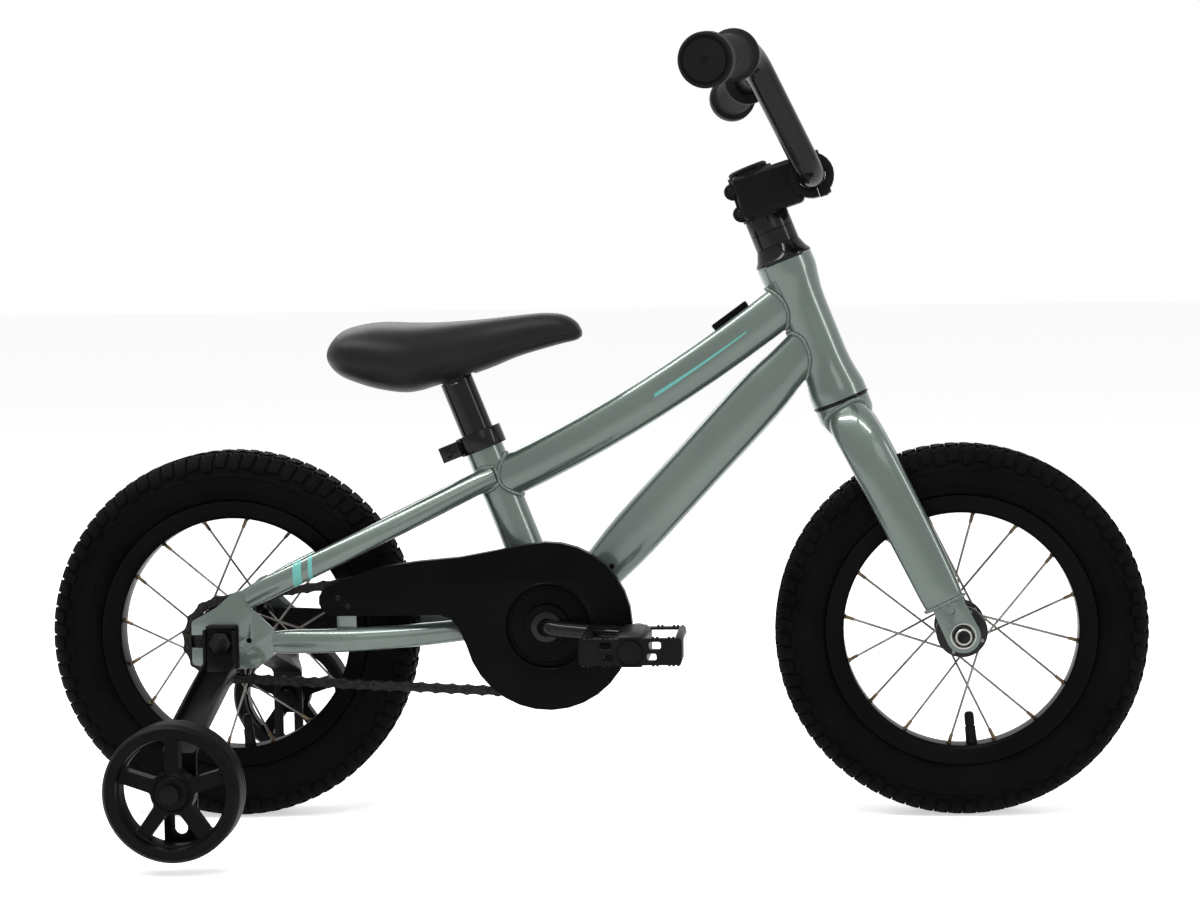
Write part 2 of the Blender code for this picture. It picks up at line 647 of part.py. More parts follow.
fuse(seat_clamp, clamp_screw)

# Bottom bracket cups, spindle, chainring and cranks
spindle_bore = bore_radius(SPINDLE_RADIUS, HUB_STEPS)
CUP_FLANGE = 0.0028
cups = []
for side, sign in SIDES:
    body = SHELL_BORE_RADIUS * math.cos(math.pi / HUB_STEPS) - GAP
    profile = [(spindle_bore, 0.020), (body, 0.020), (body, SHELL_HALF + GAP),
               (SHELL_RADIUS - 0.0012, SHELL_HALF + GAP), (SHELL_RADIUS - 0.0012, SHELL_HALF + CUP_FLANGE),
               (spindle_bore, SHELL_HALF + CUP_FLANGE)]
    cups.append(lathe(side + "_bearing_cup", profile, HUB_STEPS, DARK_STEEL, BRACKET,
                      (math.pi / 2 * -sign, 0, 0)))

spindle = rod("crank_spindle", SPINDLE_RADIUS, -CRANK_IN - 0.010, CRANK_IN + 0.010, HUB_STEPS, DARK_STEEL,
              BRACKET, WHEEL_TURN)


def tooth_outline(teeth, centre, turn):
    """Toothed disc whose gaps clear the chain rollers."""
    radius = pitch_radius(teeth)
    points = []
    for tooth in range(teeth):
        angle = turn + 2 * math.pi * tooth / teeth
        for wide, high in ((-TOOTH_FOOT, TOOTH_LOW), (-TOOTH_TIP, TOOTH_HIGH), (TOOTH_TIP, TOOTH_HIGH),
                           (TOOTH_FOOT, TOOTH_LOW)):
            reach = radius * math.cos(math.pi / teeth) + high
            points.append((reach * math.cos(angle) - wide * math.sin(angle),
                           reach * math.sin(angle) + wide * math.cos(angle)))
    return [(centre[0] + x, centre[1] + z) for x, z in points]


chainring = plate("chainring", tooth_outline(CHAINRING_TEETH, (0, 0), DRIVE_ANGLE),
                  -CHAINLINE - TOOTH_DISC_HALF, -CHAINLINE + TOOTH_DISC_HALF, BLACK_METAL,
                  (BRACKET_X, 0, BOTTOM_BRACKET_Z))
ring_hub = rod("ring_hub", 0.018, CHAINLINE - 0.0030, CRANK_IN - GAP, HUB_STEPS, None, BRACKET, WHEEL_TURN)
ring_bore = rod("ring_bore", spindle_bore, 0.02, 0.08, HUB_STEPS, None, BRACKET, WHEEL_TURN)
fuse(chainring, ring_hub)
cut(chainring, ring_bore)
for hole in range(5):
    angle = 2 * math.pi * (hole + 0.25) / 5
    centre = (BRACKET_X + 0.0345 * math.cos(angle), 0, BOTTOM_BRACKET_Z + 0.0345 * math.sin(angle))
    cut(chainring, rod("ring_hole_%d" % hole, 0.0095, 0.03, 0.05, 8, None, centre, WHEEL_TURN))

crank_ends = {}
cranks = []
for side, sign in SIDES:
    heading = -CRANK_DROP if sign < 0 else math.pi - CRANK_DROP
    tip = (BRACKET_X + CRANK_LENGTH * math.cos(heading), BOTTOM_BRACKET_Z + CRANK_LENGTH * math.sin(heading))
    crank_ends[side] = tip
    outline = capsule((BRACKET_X, BOTTOM_BRACKET_Z), CRANK_BOSS_RADIUS, tip, CRANK_TIP_RADIUS, 6)
    low = sign * CRANK_IN
    high = sign * (CRANK_IN + CRANK_THICK)
    crank = plate(side + "_crank", outline, low, high, BLACK_METAL)
    soften(crank, 0.0015, 1, 50)
    cut(crank,
        rod(side + "_crank_bore", spindle_bore, CRANK_IN - 0.005, CRANK_IN + 0.0105, HUB_STEPS, None, BRACKET,
             (math.pi / 2 * -sign, 0, 0)))
    axle = rod(side + "_pedal_axle", PEDAL_AXLE_RADIUS, CRANK_IN + CRANK_THICK - 0.004,
               PEDAL_IN + PEDAL_WIDTH - 0.014, 10, None, (tip[0], 0, tip[1]), (math.pi / 2 * -sign, 0, 0))
    collar = rod(side + "_axle_collar", 0.0085, CRANK_IN + CRANK_THICK - 0.003, PEDAL_IN - 0.0015, 10, None,
                 (tip[0], 0, tip[1]), (math.pi / 2 * -sign, 0, 0))
    fuse(crank, collar, axle)
    cranks.append(crank)

# Pedals
pedals = {}
for side, sign in SIDES:
    tip = crank_ends[side]
    half_length = PEDAL_LENGTH / 2
    half_height = PEDAL_HEIGHT / 2
    outline = rounded([(tip[0] - half_length, tip[1] - half_height),
                       (tip[0] + half_length, tip[1] - half_height),
                       (tip[0] + half_length, tip[1] + half_height),
                       (tip[0] - half_length, tip[1] + half_height)], 0.006, 2)
    pedal = plate(side + "_pedal", outline, sign * PEDAL_IN, sign * (PEDAL_IN + PEDAL_WIDTH), BLACK_PLASTIC)
    edge, rim = sorted((sign * (PEDAL_IN + PEDAL_EDGE), sign * (PEDAL_IN + PEDAL_WIDTH - PEDAL_EDGE)))
    for end, direction in (("front", 1), ("back", -1)):
        near, far = sorted((tip[0] + direction * 0.0125, tip[0] + direction * 0.0345))
        cut(pedal,
            box(side + "_window_" + end, (near, edge, tip[1] - 0.03), (far, rim, tip[1] + 0.03), None))
        start, stop = sorted((tip[0] + direction * 0.009, tip[0] + direction * 0.0365))
        for row, low, high in (("upper", PEDAL_GROOVE_Z, 0.03), ("lower", -0.03, -PEDAL_GROOVE_Z)):
            name = side + "_groove_" + end + row
            cut(pedal, box(name, (start, -0.5, tip[1] + low), (stop, 0.5, tip[1] + high), None))
    cut(pedal,
        rod(side + "_pedal_bore", bore_radius(PEDAL_AXLE_RADIUS, 10), PEDAL_IN - 0.01,
            PEDAL_IN + PEDAL_WIDTH - 0.013, 10, None, (tip[0], 0, tip[1]), (math.pi / 2 * -sign, 0, 0)))
    pedals[side] = pedal

# Chain
def chain_pins():
    ring = pitch_radius(CHAINRING_TEETH)
    cog = pitch_radius(SPROCKET_TEETH)
    pins = []
    for pin in range(CHAINRING_PINS):
        angle = DRIVE_ANGLE + (pin - (CHAINRING_PINS - 1) / 2) * 2 * math.pi / CHAINRING_TEETH
        pins.append(Vector((BRACKET_X + ring * math.cos(angle), BOTTOM_BRACKET_Z + ring * math.sin(angle))))
    turn = []
    for pin in range(SPROCKET_PINS):
        angle = DRIVE_ANGLE + math.pi + (pin - (SPROCKET_PINS - 1) / 2) * 2 * math.pi / SPROCKET_TEETH
        turn.append(Vector((REAR_X + cog * math.cos(angle), AXLE_Z + cog * math.sin(angle))))
    upper = [pins[-1].lerp(turn[0], step / SPAN_LINKS) for step in range(1, SPAN_LINKS)]
    lower = [turn[-1].lerp(pins[0], step / SPAN_LINKS) for step in range(1, SPAN_LINKS)]
    return pins + upper + turn + lower


def add_prism(form, outline, low, high):
    near = [form.verts.new((x, low, z)) for x, z in outline]
    far = [form.verts.new((x, high, z)) for x, z in outline]
    form.faces.new(near)
    form.faces.new(list(reversed(far)))
    for step in range(len(outline)):
        form.faces.new((near[step - 1], far[step - 1], far[step], near[step]))


def plate_loop(name, pins, sign, material):
    """All side plates of one side as one band: full height at each pin, waisted and stepped along each link."""
    form = bmesh.new()
    loops = []
    for index, pin in enumerate(pins):
        ahead = pins[(index + 1) % len(pins)]
        for centre, before, after, share, half in ((pin, pins[index - 1], ahead, 0.5, PLATE_HALF_HEIGHT),
                                                   ((pin + ahead) / 2, pin, ahead, index % 2,
                                                    PLATE_WAIST_HALF)):
            along = (after - before).normalized()
            out = Vector((along.y, -along.x))
            level = INNER_PLATE_Y + PLATE_STEP * share
            ring = []
            for edge, depth in ((1, 0), (1, PLATE_THICK), (-1, PLATE_THICK), (-1, 0)):
                point = centre + out * (edge * half)
                ring.append(form.verts.new((point.x, -CHAINLINE + sign * (level + depth), point.y)))
            loops.append(ring)
    for index, far in enumerate(loops):
        near = loops[index - 1]
        for step in range(4):
            form.faces.new((near[step], near[step - 1], far[step - 1], far[step]))
    return finish(name, form, material, smooth=False)


pins = chain_pins()
chain = plate_loop("chain", pins, -1, DARK_STEEL)
far_plates = plate_loop("far_plates", pins, 1, None)
rollers_form = bmesh.new()
roller_reach = INNER_PLATE_Y + PLATE_THICK - BITE / 2
for index, pin in enumerate(pins):
    along = pins[(index + 1) % len(pins)] - pins[index - 1]
    heading = math.degrees(math.atan2(along.y, along.x))
    add_prism(rollers_form, circle(pin, ROLLER_RADIUS, heading + 45, heading + 315, 3),
              -CHAINLINE - roller_reach, -CHAINLINE + roller_reach)
rollers = finish("rollers", rollers_form, None, smooth=False)
fuse(chain, rollers, far_plates)

# Chain guard
GUARD_TOP = ((-0.0375, 0.0625), (-0.0705, 0.0565), (-0.1045, 0.0535), (-0.1375, 0.0490))
GUARD_TAIL = (-0.1735, 0.0222)
GUARD_TAIL_RADIUS = 0.0128
GUARD_THROAT = ((-0.0875, 0.0097), (-0.0790, 0.0070), (-0.0725, 0.0), (-0.0685, -0.0090))


def by_bracket(x, z):
    return (BRACKET_X + x, BOTTOM_BRACKET_Z + z)


guard_centre = by_bracket(GUARD_AHEAD, 0)
guard_outline = circle(guard_centre, GUARD_RADIUS, -167, 103, 24)
guard_outline += [by_bracket(*point) for point in GUARD_TOP]
guard_outline += circle(by_bracket(*GUARD_TAIL), GUARD_TAIL_RADIUS, 112, 270, 6)
guard_outline += [by_bracket(*point) for point in GUARD_THROAT]
guard_face = -GUARD_OUT + GUARD_SKIN
chain_guard = plate("chain_guard", guard_outline, -GUARD_OUT, -GUARD_OUT + GUARD_WALL, BLACK_PLASTIC)
guard_pocket = plate("guard_pocket", grown(guard_outline, -GUARD_SKIN), guard_face,
                     -GUARD_OUT + GUARD_WALL + 0.01, None)
guard_hole = rod("guard_hole", GUARD_HOLE_RADIUS, 0.04, 0.07, 28, None, (guard_centre[0], 0, guard_centre[1]),
                  WHEEL_TURN)
rear_low, rear_high = by_bracket(-0.2045, -0.013), by_bracket(-0.1365, 0.077)
under_low, under_high = by_bracket(-0.0845, -0.078), by_bracket(-0.0195, -0.028)
rear_opening = box("guard_rear_opening", (rear_low[0], guard_face, rear_low[1]),
                   (rear_high[0], -0.02, rear_high[1]), None)
under_opening = box("guard_lower_opening", (under_low[0], guard_face, under_low[1]),
                    (under_high[0], -0.02, under_high[1]), None)
cut(chain_guard, guard_pocket, guard_hole, rear_opening, under_opening)

TAB_HALF_WIDTH = 0.008
TAB_THICK = 0.0032
tab_low, tab_high = by_bracket(-0.1640 - TAB_HALF_WIDTH, -0.0045), by_bracket(-0.1640 + TAB_HALF_WIDTH,
                                                                              0.0285)
tab_outline = rounded([tab_low, (tab_high[0], tab_low[1]), tab_high, (tab_low[0], tab_high[1])], 0.004, 2)
guard_tab = plate("guard_tab", tab_outline, guard_face + GAP, guard_face + GAP + TAB_THICK, SAGE)
guard_foot = box("guard_foot", (tab_low[0], -0.0515, tab_low[1]), (tab_high[0], -0.0455, tab_low[1] + 0.010),
                 None)
fuse(guard_tab, guard_foot)
cut(guard_tab,
    loft("right_stay_seat", tube_rings(chainstay_stations(-1, 1, 4), sides=STAY_SIDES, grow=GAP), None))

# Wheels
def tyre_profile():
    half = [(TYRE_RADIUS, CROWN_HALF), (0.1498, 0.0210), (0.1405, 0.0251), (0.1280, TYRE_HALF_WIDTH),
            (0.1155, 0.0215), (BEAD_RADIUS + GAP, 0.0112), (RIM_WELL_RADIUS + GAP, 0.0078)]
    corners = [(polygon_radius(radius, WHEEL_STEPS), y) for radius, y in half]
    return corners + [(radius, -y) for radius, y in reversed(corners)]


def rim_profile():
    half = [(RIM_WELL_RADIUS, 0.0078), (BEAD_RADIUS, RIM_HALF_WIDTH - RIM_WALL),
            (BEAD_RADIUS, RIM_HALF_WIDTH), (RIM_INNER_RADIUS, 0.0110)]
    corners = [(polygon_radius(radius, WHEEL_STEPS), y) for radius, y in half]
    return corners + [(radius, -y) for radius, y in reversed(corners)]


def notch_tread(tyre):
    """Draw every second shoulder station in, which leaves shoulder blocks round the tread."""
    for vert in tyre.data.vertices:
        radius = math.hypot(vert.co.x, vert.co.y)
        column = round((math.atan2(vert.co.y, vert.co.x) / (2 * math.pi)) * WHEEL_STEPS - 0.5)
        if 0.0205 < abs(vert.co.z) < 0.0252 and radius > 0.14 and column % 2 == 0:
            scale = (radius - TREAD_NOTCH) / radius
            vert.co.x *= scale
            vert.co.y *= scale


def spoke_set(name, flange_radius, flange_y, at):
    """Crossed spokes, seated in the hub flanges and stopping just short of the rim."""
    form = bmesh.new()
    for spoke in range(SPOKE_COUNT):
        sign = 1 if spoke % 2 else -1
        lean = SPOKE_LEAN if (spoke // 2) % 2 else -SPOKE_LEAN
        rim_angle = 2 * math.pi * (spoke + SPOKE_PHASE) / SPOKE_COUNT
        hub_angle = rim_angle + lean
        face = SPOKE_HEAD_STEP if (spoke // 2) % 2 else -SPOKE_HEAD_STEP
        hub_radius = flange_radius - 0.0032
        low = Vector((hub_radius * math.cos(hub_angle), hub_radius * math.sin(hub_angle),
                      sign * flange_y + face * 0.7))
        reach = RIM_INNER_RADIUS - GAP
        high = Vector((reach * math.cos(rim_angle), reach * math.sin(rim_angle), sign * 0.003))
        along = (high - low).normalized()
        side = along.cross(Vector((0, 0, 1))).normalized()
        up = along.cross(side)
        rings = [section(low, side, up, SPOKE_RADIUS, SPOKE_RADIUS, 4),
                 section(high, side, up, SPOKE_RADIUS, SPOKE_RADIUS, 4)]
        loops = [[form.verts.new(point) for point in ring] for ring in rings]
        for near, far in zip(loops, loops[1:]):
            for step in range(4):
                form.faces.new((near[step], near[step - 1], far[step - 1], far[step]))
        form.faces.new(loops[0])
        form.faces.new(list(reversed(loops[-1])))
    return finish(name, form, None, at, WHEEL_TURN)


axle_bore = bore_radius(AXLE_RADIUS, HUB_STEPS)


def front_hub_profile():
    half = [(axle_bore, 0.0285), (0.0115, 0.0285), (0.0115, FRONT_FLANGE_Y + FLANGE_THICK / 2),
            (FRONT_FLANGE_RADIUS, FRONT_FLANGE_Y + FLANGE_THICK / 2),
            (FRONT_FLANGE_RADIUS, FRONT_FLANGE_Y - FLANGE_THICK / 2), (FRONT_SHELL_RADIUS, 0.0150)]
    return half + [(radius, -height) for radius, height in reversed(half)]


def rear_hub_profile():
    return [(axle_bore, 0.0377), (0.0150, 0.0377), (0.0165, REAR_FLANGE_Y + FLANGE_THICK / 2),
            (REAR_FLANGE_RADIUS, REAR_FLANGE_Y + FLANGE_THICK / 2),
            (REAR_FLANGE_RADIUS, REAR_FLANGE_Y - FLANGE_THICK / 2), (REAR_SHELL_RADIUS, 0.0200),
            (REAR_SHELL_RADIUS, -0.0200), (REAR_FLANGE_RADIUS, -REAR_FLANGE_Y + FLANGE_THICK / 2),
            (REAR_FLANGE_RADIUS, -REAR_FLANGE_Y - FLANGE_THICK / 2), (0.0190, -0.0330), (0.0190, -0.0355),
            (axle_bore, -0.0355)]


wheels = {}
for end, x, hub_profile, flange_radius, flange_y in (
        ("front", FRONT_X, front_hub_profile(), FRONT_FLANGE_RADIUS, FRONT_FLANGE_Y),
        ("rear", REAR_X, rear_hub_profile(), REAR_FLANGE_RADIUS, REAR_FLANGE_Y)):
    centre = (x, 0, AXLE_Z)
    tyre = lathe(end + "_tyre", tyre_profile(), WHEEL_STEPS, TYRE_BLACK, centre, WHEEL_TURN, half_step=True)
    notch_tread(tyre)
    rim = lathe(end + "_rim", rim_profile(), WHEEL_STEPS, BLACK_METAL, centre, WHEEL_TURN, half_step=True)
    hub = lathe(end + "_hub", hub_profile, HUB_STEPS, DARK_STEEL, centre, WHEEL_TURN)
    fuse(hub, spoke_set(end + "_spokes", flange_radius, flange_y, centre))
    valve = lathe(end + "_valve",
                  [(0, 0), (0.0026, 0), (0.0026, 0.004), (VALVE_RADIUS, 0.005), (VALVE_RADIUS, VALVE_LENGTH),
                   (0, VALVE_LENGTH)], 10, GRIP_BLACK)
    reach = RIM_INNER_RADIUS - GAP - VALVE_LENGTH
    direction = Vector((math.cos(VALVE_ANGLE), 0, math.sin(VALVE_ANGLE)))
    valve.location = Vector(centre) + direction * reach
    valve.rotation_euler = direction.to_track_quat("Z", "Y").to_euler()
    wheels[end] = (tyre, rim, hub, valve)


def axle_piece(name, x, dropout_in, inner_right, inner_left, nut_start):
    """Axle with its locknuts and outer nuts."""
    length = nut_start + NUT_LENGTH + 0.0025
    profile = [(0, -length), (AXLE_RADIUS, -length), (AXLE_RADIUS, GAP - dropout_in),
               (LOCKNUT_RADIUS, GAP - dropout_in), (LOCKNUT_RADIUS, -inner_left), (AXLE_RADIUS, -inner_left),
               (AXLE_RADIUS, inner_right), (LOCKNUT_RADIUS, inner_right), (LOCKNUT_RADIUS, dropout_in - GAP),
               (AXLE_RADIUS, dropout_in - GAP), (AXLE_RADIUS, length), (0, length)]
    axle = lathe(name, profile, 12, STEEL, (x, 0, AXLE_Z), WHEEL_TURN)
    for side, sign in SIDES:
        nut = rod(name + "_nut_" + side, NUT_RADIUS, nut_start, nut_start + NUT_LENGTH, 6, None,
                  (x, 0, AXLE_Z), (math.pi / 2 * -sign, 0, 0))
        fuse(axle, nut)
    return axle


front_nut_start = FRONT_DROPOUT_IN + FRONT_DROPOUT_THICK + GAP
bracket_in = REAR_DROPOUT_IN + REAR_DROPOUT_THICK + GAP
BRACKET_THICK = 0.0022
arm_in = bracket_in + BRACKET_THICK + GAP
rear_nut_start = arm_in + ARM_THICK + GAP
front_axle = axle_piece("front_axle", FRONT_X, FRONT_DROPOUT_IN, 0.0290, 0.0290, front_nut_start)
rear_axle = axle_piece("rear_axle", REAR_X, REAR_DROPOUT_IN, 0.0465, 0.0440, rear_nut_start)

sprocket = plate("rear_sprocket", tooth_outline(SPROCKET_TEETH, (0, 0), DRIVE_ANGLE),
                 -CHAINLINE - TOOTH_DISC_HALF, -CHAINLINE + TOOTH_DISC_HALF, DARK_STEEL, (REAR_X, 0, AXLE_Z))
fuse(sprocket,
     rod("sprocket_boss", 0.0175, 0.0380, 0.0460, HUB_STEPS, None, (REAR_X, 0, AXLE_Z), WHEEL_TURN))
cut(sprocket, rod("sprocket_bore", axle_bore, 0.02, 0.06, HUB_STEPS, None, (REAR_X, 0, AXLE_Z), WHEEL_TURN))

# Coaster brake arm and the strap that ties it to the left chainstay
BRAKE_ARM_IN = 0.0390
BRAKE_ARM_THICK = 0.0030
BRAKE_TIP = (REAR_X + 0.1109, AXLE_Z + 0.0035)
brake_arm = plate("brake_arm", capsule((REAR_X, AXLE_Z), 0.0165, BRAKE_TIP, 0.0085, 5), BRAKE_ARM_IN,
                  BRAKE_ARM_IN + BRAKE_ARM_THICK, STEEL)
brake_cone = rod("brake_cone", 0.0130, 0.0358, 0.0437, HUB_STEPS, None, (REAR_X, 0, AXLE_Z),
                 (-math.pi / 2, 0, 0))
fuse(brake_arm, brake_cone)
cut(brake_arm,
    rod("brake_bore", axle_bore, 0.02, 0.06, HUB_STEPS, None, (REAR_X, 0, AXLE_Z), (-math.pi / 2, 0, 0)))
STRAP_HALF = 0.006
left_strap = box("brake_strap",
                 (BRAKE_TIP[0] - STRAP_HALF, BRAKE_ARM_IN + BRAKE_ARM_THICK + GAP, AXLE_Z - 0.012),
                 (BRAKE_TIP[0] + STRAP_HALF, 0.0610, AXLE_Z + 0.014), STEEL)
soften(left_strap, 0.003, 1, 50)
cut(left_strap,
    loft("left_stay_seat", tube_rings(chainstay_stations(1, 1, 5), sides=STAY_SIDES, grow=GAP), None))

# Fork
seal_top = -HEAD_LENGTH - GAP
SEAL_THICK = 0.0014
crown_top = seal_top - SEAL_THICK - GAP
steerer_top = STEM_BASE + STEM_HEIGHT - 0.002


def crown_profile(grow=0.0):
    crown = HEAD_END_RADIUS - 0.0006 + grow
    return [(0, crown_top - CROWN_LENGTH - grow), (0.0175 + grow, crown_top - CROWN_LENGTH - grow),
            (crown, crown_top - CROWN_LENGTH + 0.011), (crown, crown_top + grow)]


steerer = lathe("fork_steerer",
                crown_profile() + [(STEERER_RADIUS, crown_top), (STEERER_RADIUS, steerer_top),
                                   (0, steerer_top)], HEADSET_STEPS, SAGE, HEAD_TOP, HEAD_TURN)
crown_form = lathe("crown_form", crown_profile(GAP) + [(0, crown_top + GAP)], HEADSET_STEPS, None, HEAD_TOP,
                   HEAD_TURN)
steerer_bore = bore_radius(STEERER_RADIUS, HEADSET_STEPS)
bearing_body = HEAD_BORE_RADIUS * math.cos(math.pi / HEADSET_STEPS) - GAP
lower_headset = lathe("lower_headset",
                      [(steerer_bore, seal_top - SEAL_THICK),
                       (HEAD_END_RADIUS + 0.0004, seal_top - SEAL_THICK),
                       (HEAD_END_RADIUS + 0.0004, seal_top), (bearing_body, seal_top),
                       (bearing_body, seal_top + 0.009), (steerer_bore, seal_top + 0.009)], HEADSET_STEPS,
                      BLACK_METAL, HEAD_TOP, HEAD_TURN)
upper_headset = lathe("upper_headset",
                      [(steerer_bore, -0.008), (bearing_body, -0.008), (bearing_body, GAP),
                       (HEAD_END_RADIUS, GAP), (HEAD_END_RADIUS, 0.0025), (SPACER_RADIUS, 0.0130),
                       (SPACER_RADIUS, STEM_BASE - GAP), (steerer_bore, STEM_BASE - GAP)], HEADSET_STEPS,
                      BLACK_METAL, HEAD_TOP, HEAD_TURN)

# Share of the way down, bow ahead, distance from the centre plane, depth and width of a leg
LEG_SHAPE = ((0, 0, 0.0120, 0.0330, 0.024), (0.066, 0.0014, 0.0270, 0.0375, 0.0245),
             (0.203, 0.0026, 0.0385, 0.0378, 0.0215), (0.485, 0.0025, 0.0425, 0.0372, 0.0200),
             (0.767, 0.0014, 0.0440, 0.0358, 0.0185), (0.964, 0.0002, 0.0452, 0.0335, 0.0165),
             (1, 0, 0.0455, 0.0290, 0.0110))
leg_top = HEAD_BASE + Vector((0.0045, 0, -0.0120))
leg_foot = FRONT_AXLE + Vector((-0.0141, 0, 0.0250))
TAB_TOP = (FRONT_X - 0.0164, AXLE_Z + 0.0335)
TAB_TOP_RADIUS = 0.0125


def leg_stations(sign):
    stations = []
    for share, bow, y, depth, width in LEG_SHAPE:
        point = leg_top.lerp(leg_foot, share)
        stations.append((point.x + bow, sign * y, point.z, depth, width))
    return stations


legs = []
for side, sign in SIDES:
    leg = loft(side + "_fork_leg", tube_rings(leg_stations(sign), square=2.4), SAGE)
    cut(leg, crown_form)
    inside = sorted((-sign * 0.03, sign * GAP / 2))
    middle = box(side + "_leg_middle", (HEAD_BASE.x - 0.02, inside[0], HEAD_BASE.z - 0.08),
                 (HEAD_BASE.x + 0.07, inside[1], HEAD_BASE.z + 0.03), None)
    cut(leg, middle)
    tab_low = sign * FRONT_DROPOUT_IN
    tab_high = sign * (FRONT_DROPOUT_IN + FRONT_DROPOUT_THICK)
    tab = plate(side + "_fork_tab", capsule(TAB_TOP, TAB_TOP_RADIUS, (FRONT_X, AXLE_Z), LEG_TIP_RADIUS, 8),
                tab_low, tab_high, None)
    fuse(leg, tab)
    cut(leg,
        rod(side + "_fork_hole", axle_bore, 0.03, 0.06, HUB_STEPS, None, (FRONT_X, 0, AXLE_Z),
            (math.pi / 2 * -sign, 0, 0)))
    legs.append(leg)

# Stem
stem = rod("stem", STEM_CLAMP_RADIUS, STEM_BASE, STEM_BASE + STEM_HEIGHT, HEADSET_STEPS, BLACK_METAL,
           HEAD_TOP, HEAD_TURN)
stem_back = on_axis(STEM_BASE + STEM_HEIGHT * 0.5)
bar_point = Vector((BAR_CENTRE[0], 0, BAR_CENTRE[1]))
stem_line = (bar_point - stem_back).normalized()
stem_up = stem_line.cross(Vector((0, -1, 0)))
stem_heading = math.degrees(math.atan2(stem_line.z, stem_line.x))
SPLIT = 0.0012


def clamp_half(name, chord, back, material):
    """Half of the bar clamp behind (back 1) or ahead of (back 0) a straight split."""
    lean = math.degrees(math.acos(chord / BAR_CLAMP_RADIUS))
    if back:
        outline = circle(BAR_CENTRE, BAR_CLAMP_RADIUS, stem_heading + lean, stem_heading + 360 - lean, 12)
    else:
        outline = circle(BAR_CENTRE, BAR_CLAMP_RADIUS, stem_heading - lean, stem_heading + lean, 12)
    return plate(name, outline, -BAR_CLAMP_HALF, BAR_CLAMP_HALF, material)


stem_rings = [section(stem_back + stem_line * 0.004, (0, 1, 0), stem_up, 0.0165, 0.0170, 16, 3.0),
              section(stem_back + stem_line * 0.030, (0, 1, 0), stem_up, 0.0150, 0.0140, 16, 3.0),
              section(bar_point - stem_line * 0.004, (0, 1, 0), stem_up, 0.0170, 0.0150, 16, 3.0)]
pinch = box("stem_pinch", (-0.0265, -0.010, STEM_BASE + 0.004),
            (-0.0150, 0.010, STEM_BASE + STEM_HEIGHT - 0.004), None)
pinch.location = HEAD_TOP
pinch.rotation_euler = HEAD_TURN
pinch_slot = box("pinch_slot", (-0.0320, -0.0009, STEM_BASE - 0.01),
                 (-0.0080, 0.0009, STEM_BASE + STEM_HEIGHT + 0.01), None)
pinch_slot.location = HEAD_TOP
pinch_slot.rotation_euler = HEAD_TURN
fuse(stem, pinch)
cut(stem, pinch_slot)
fuse(stem, loft("stem_neck", stem_rings, None), clamp_half("stem_clamp", SPLIT, 1, None))
bar_bore = bore_radius(BAR_RADIUS, 24)
cut(stem,
    rod("steerer_bore", steerer_bore, STEM_BASE - 0.01, STEM_BASE + STEM_HEIGHT + 0.01, HEADSET_STEPS, None,
        HEAD_TOP, HEAD_TURN), rod("bar_bore", bar_bore, -0.05, 0.05, 24, None, bar_point, WHEEL_TURN))
lugs = box("faceplate_lugs", (SPLIT + GAP, -BAR_CLAMP_HALF + 0.001, -BAR_CLAMP_RADIUS - 0.0005),
           (0.0085, BAR_CLAMP_HALF - 0.001, BAR_CLAMP_RADIUS + 0.0005), None)
lugs.location = bar_point
lugs.rotation_euler = (0, -math.radians(stem_heading), 0)
faceplate = clamp_half("stem_faceplate", SPLIT + GAP + BITE, 0, BLACK_METAL)
fuse(faceplate, lugs)
cut(faceplate, rod("face_bore", bar_bore, -0.05, 0.05, 24, None, bar_point, WHEEL_TURN))

top_cap = lathe("stem_cap",
                [(0, STEM_BASE + STEM_HEIGHT + GAP), (0.0165, STEM_BASE + STEM_HEIGHT + GAP),
                 (0.0165, STEM_BASE + STEM_HEIGHT + 0.0028), (0.0145, STEM_BASE + STEM_HEIGHT + 0.0042),
                 (0, STEM_BASE + STEM_HEIGHT + 0.0042)], 24, BLACK_METAL, HEAD_TOP, HEAD_TURN)

# Handlebar and grips
def bar_corner(ahead, y, rise):
    return Vector((BAR_CENTRE[0] + ahead, y, BAR_CENTRE[1] + rise))


bar_half = [bar_corner(0, BAR_STRAIGHT_HALF, 0), bar_corner(*RISER_TOP), bar_corner(*BAR_END)]
mirrored = [Vector((corner.x, -corner.y, corner.z)) for corner in reversed(bar_half)]
centre_line = bent(mirrored + bar_half, BAR_BEND_RADIUS, 4)
handlebar = loft("handlebar", pipe_rings(centre_line, BAR_RADIUS, BAR_SIDES), BLACK_METAL)

grips = {}
for side, sign in SIDES:
    tip = bar_corner(BAR_END[0], sign * BAR_END[1], BAR_END[2])
    knee = bar_corner(RISER_TOP[0], sign * RISER_TOP[1], RISER_TOP[2])
    outward = (tip - knee).normalized()
    grip_bore = bore_radius(BAR_RADIUS, GRIP_STEPS)
    profile = [(0, GAP), (grip_bore, GAP), (grip_bore, -GRIP_LENGTH), (GRIP_FLANGE_RADIUS, -GRIP_LENGTH),
               (GRIP_FLANGE_RADIUS, 0.005 - GRIP_LENGTH), (GRIP_RADIUS, 0.0065 - GRIP_LENGTH),
               (GRIP_RADIUS, -0.011), (GRIP_END_RADIUS, -0.009), (GRIP_END_RADIUS, 0.0032), (0, 0.0032)]
    grips[side] = lathe(side + "_grip", profile, GRIP_STEPS, GRIP_BLACK, tip,
                        outward.to_track_quat("Z", "Y").to_euler())

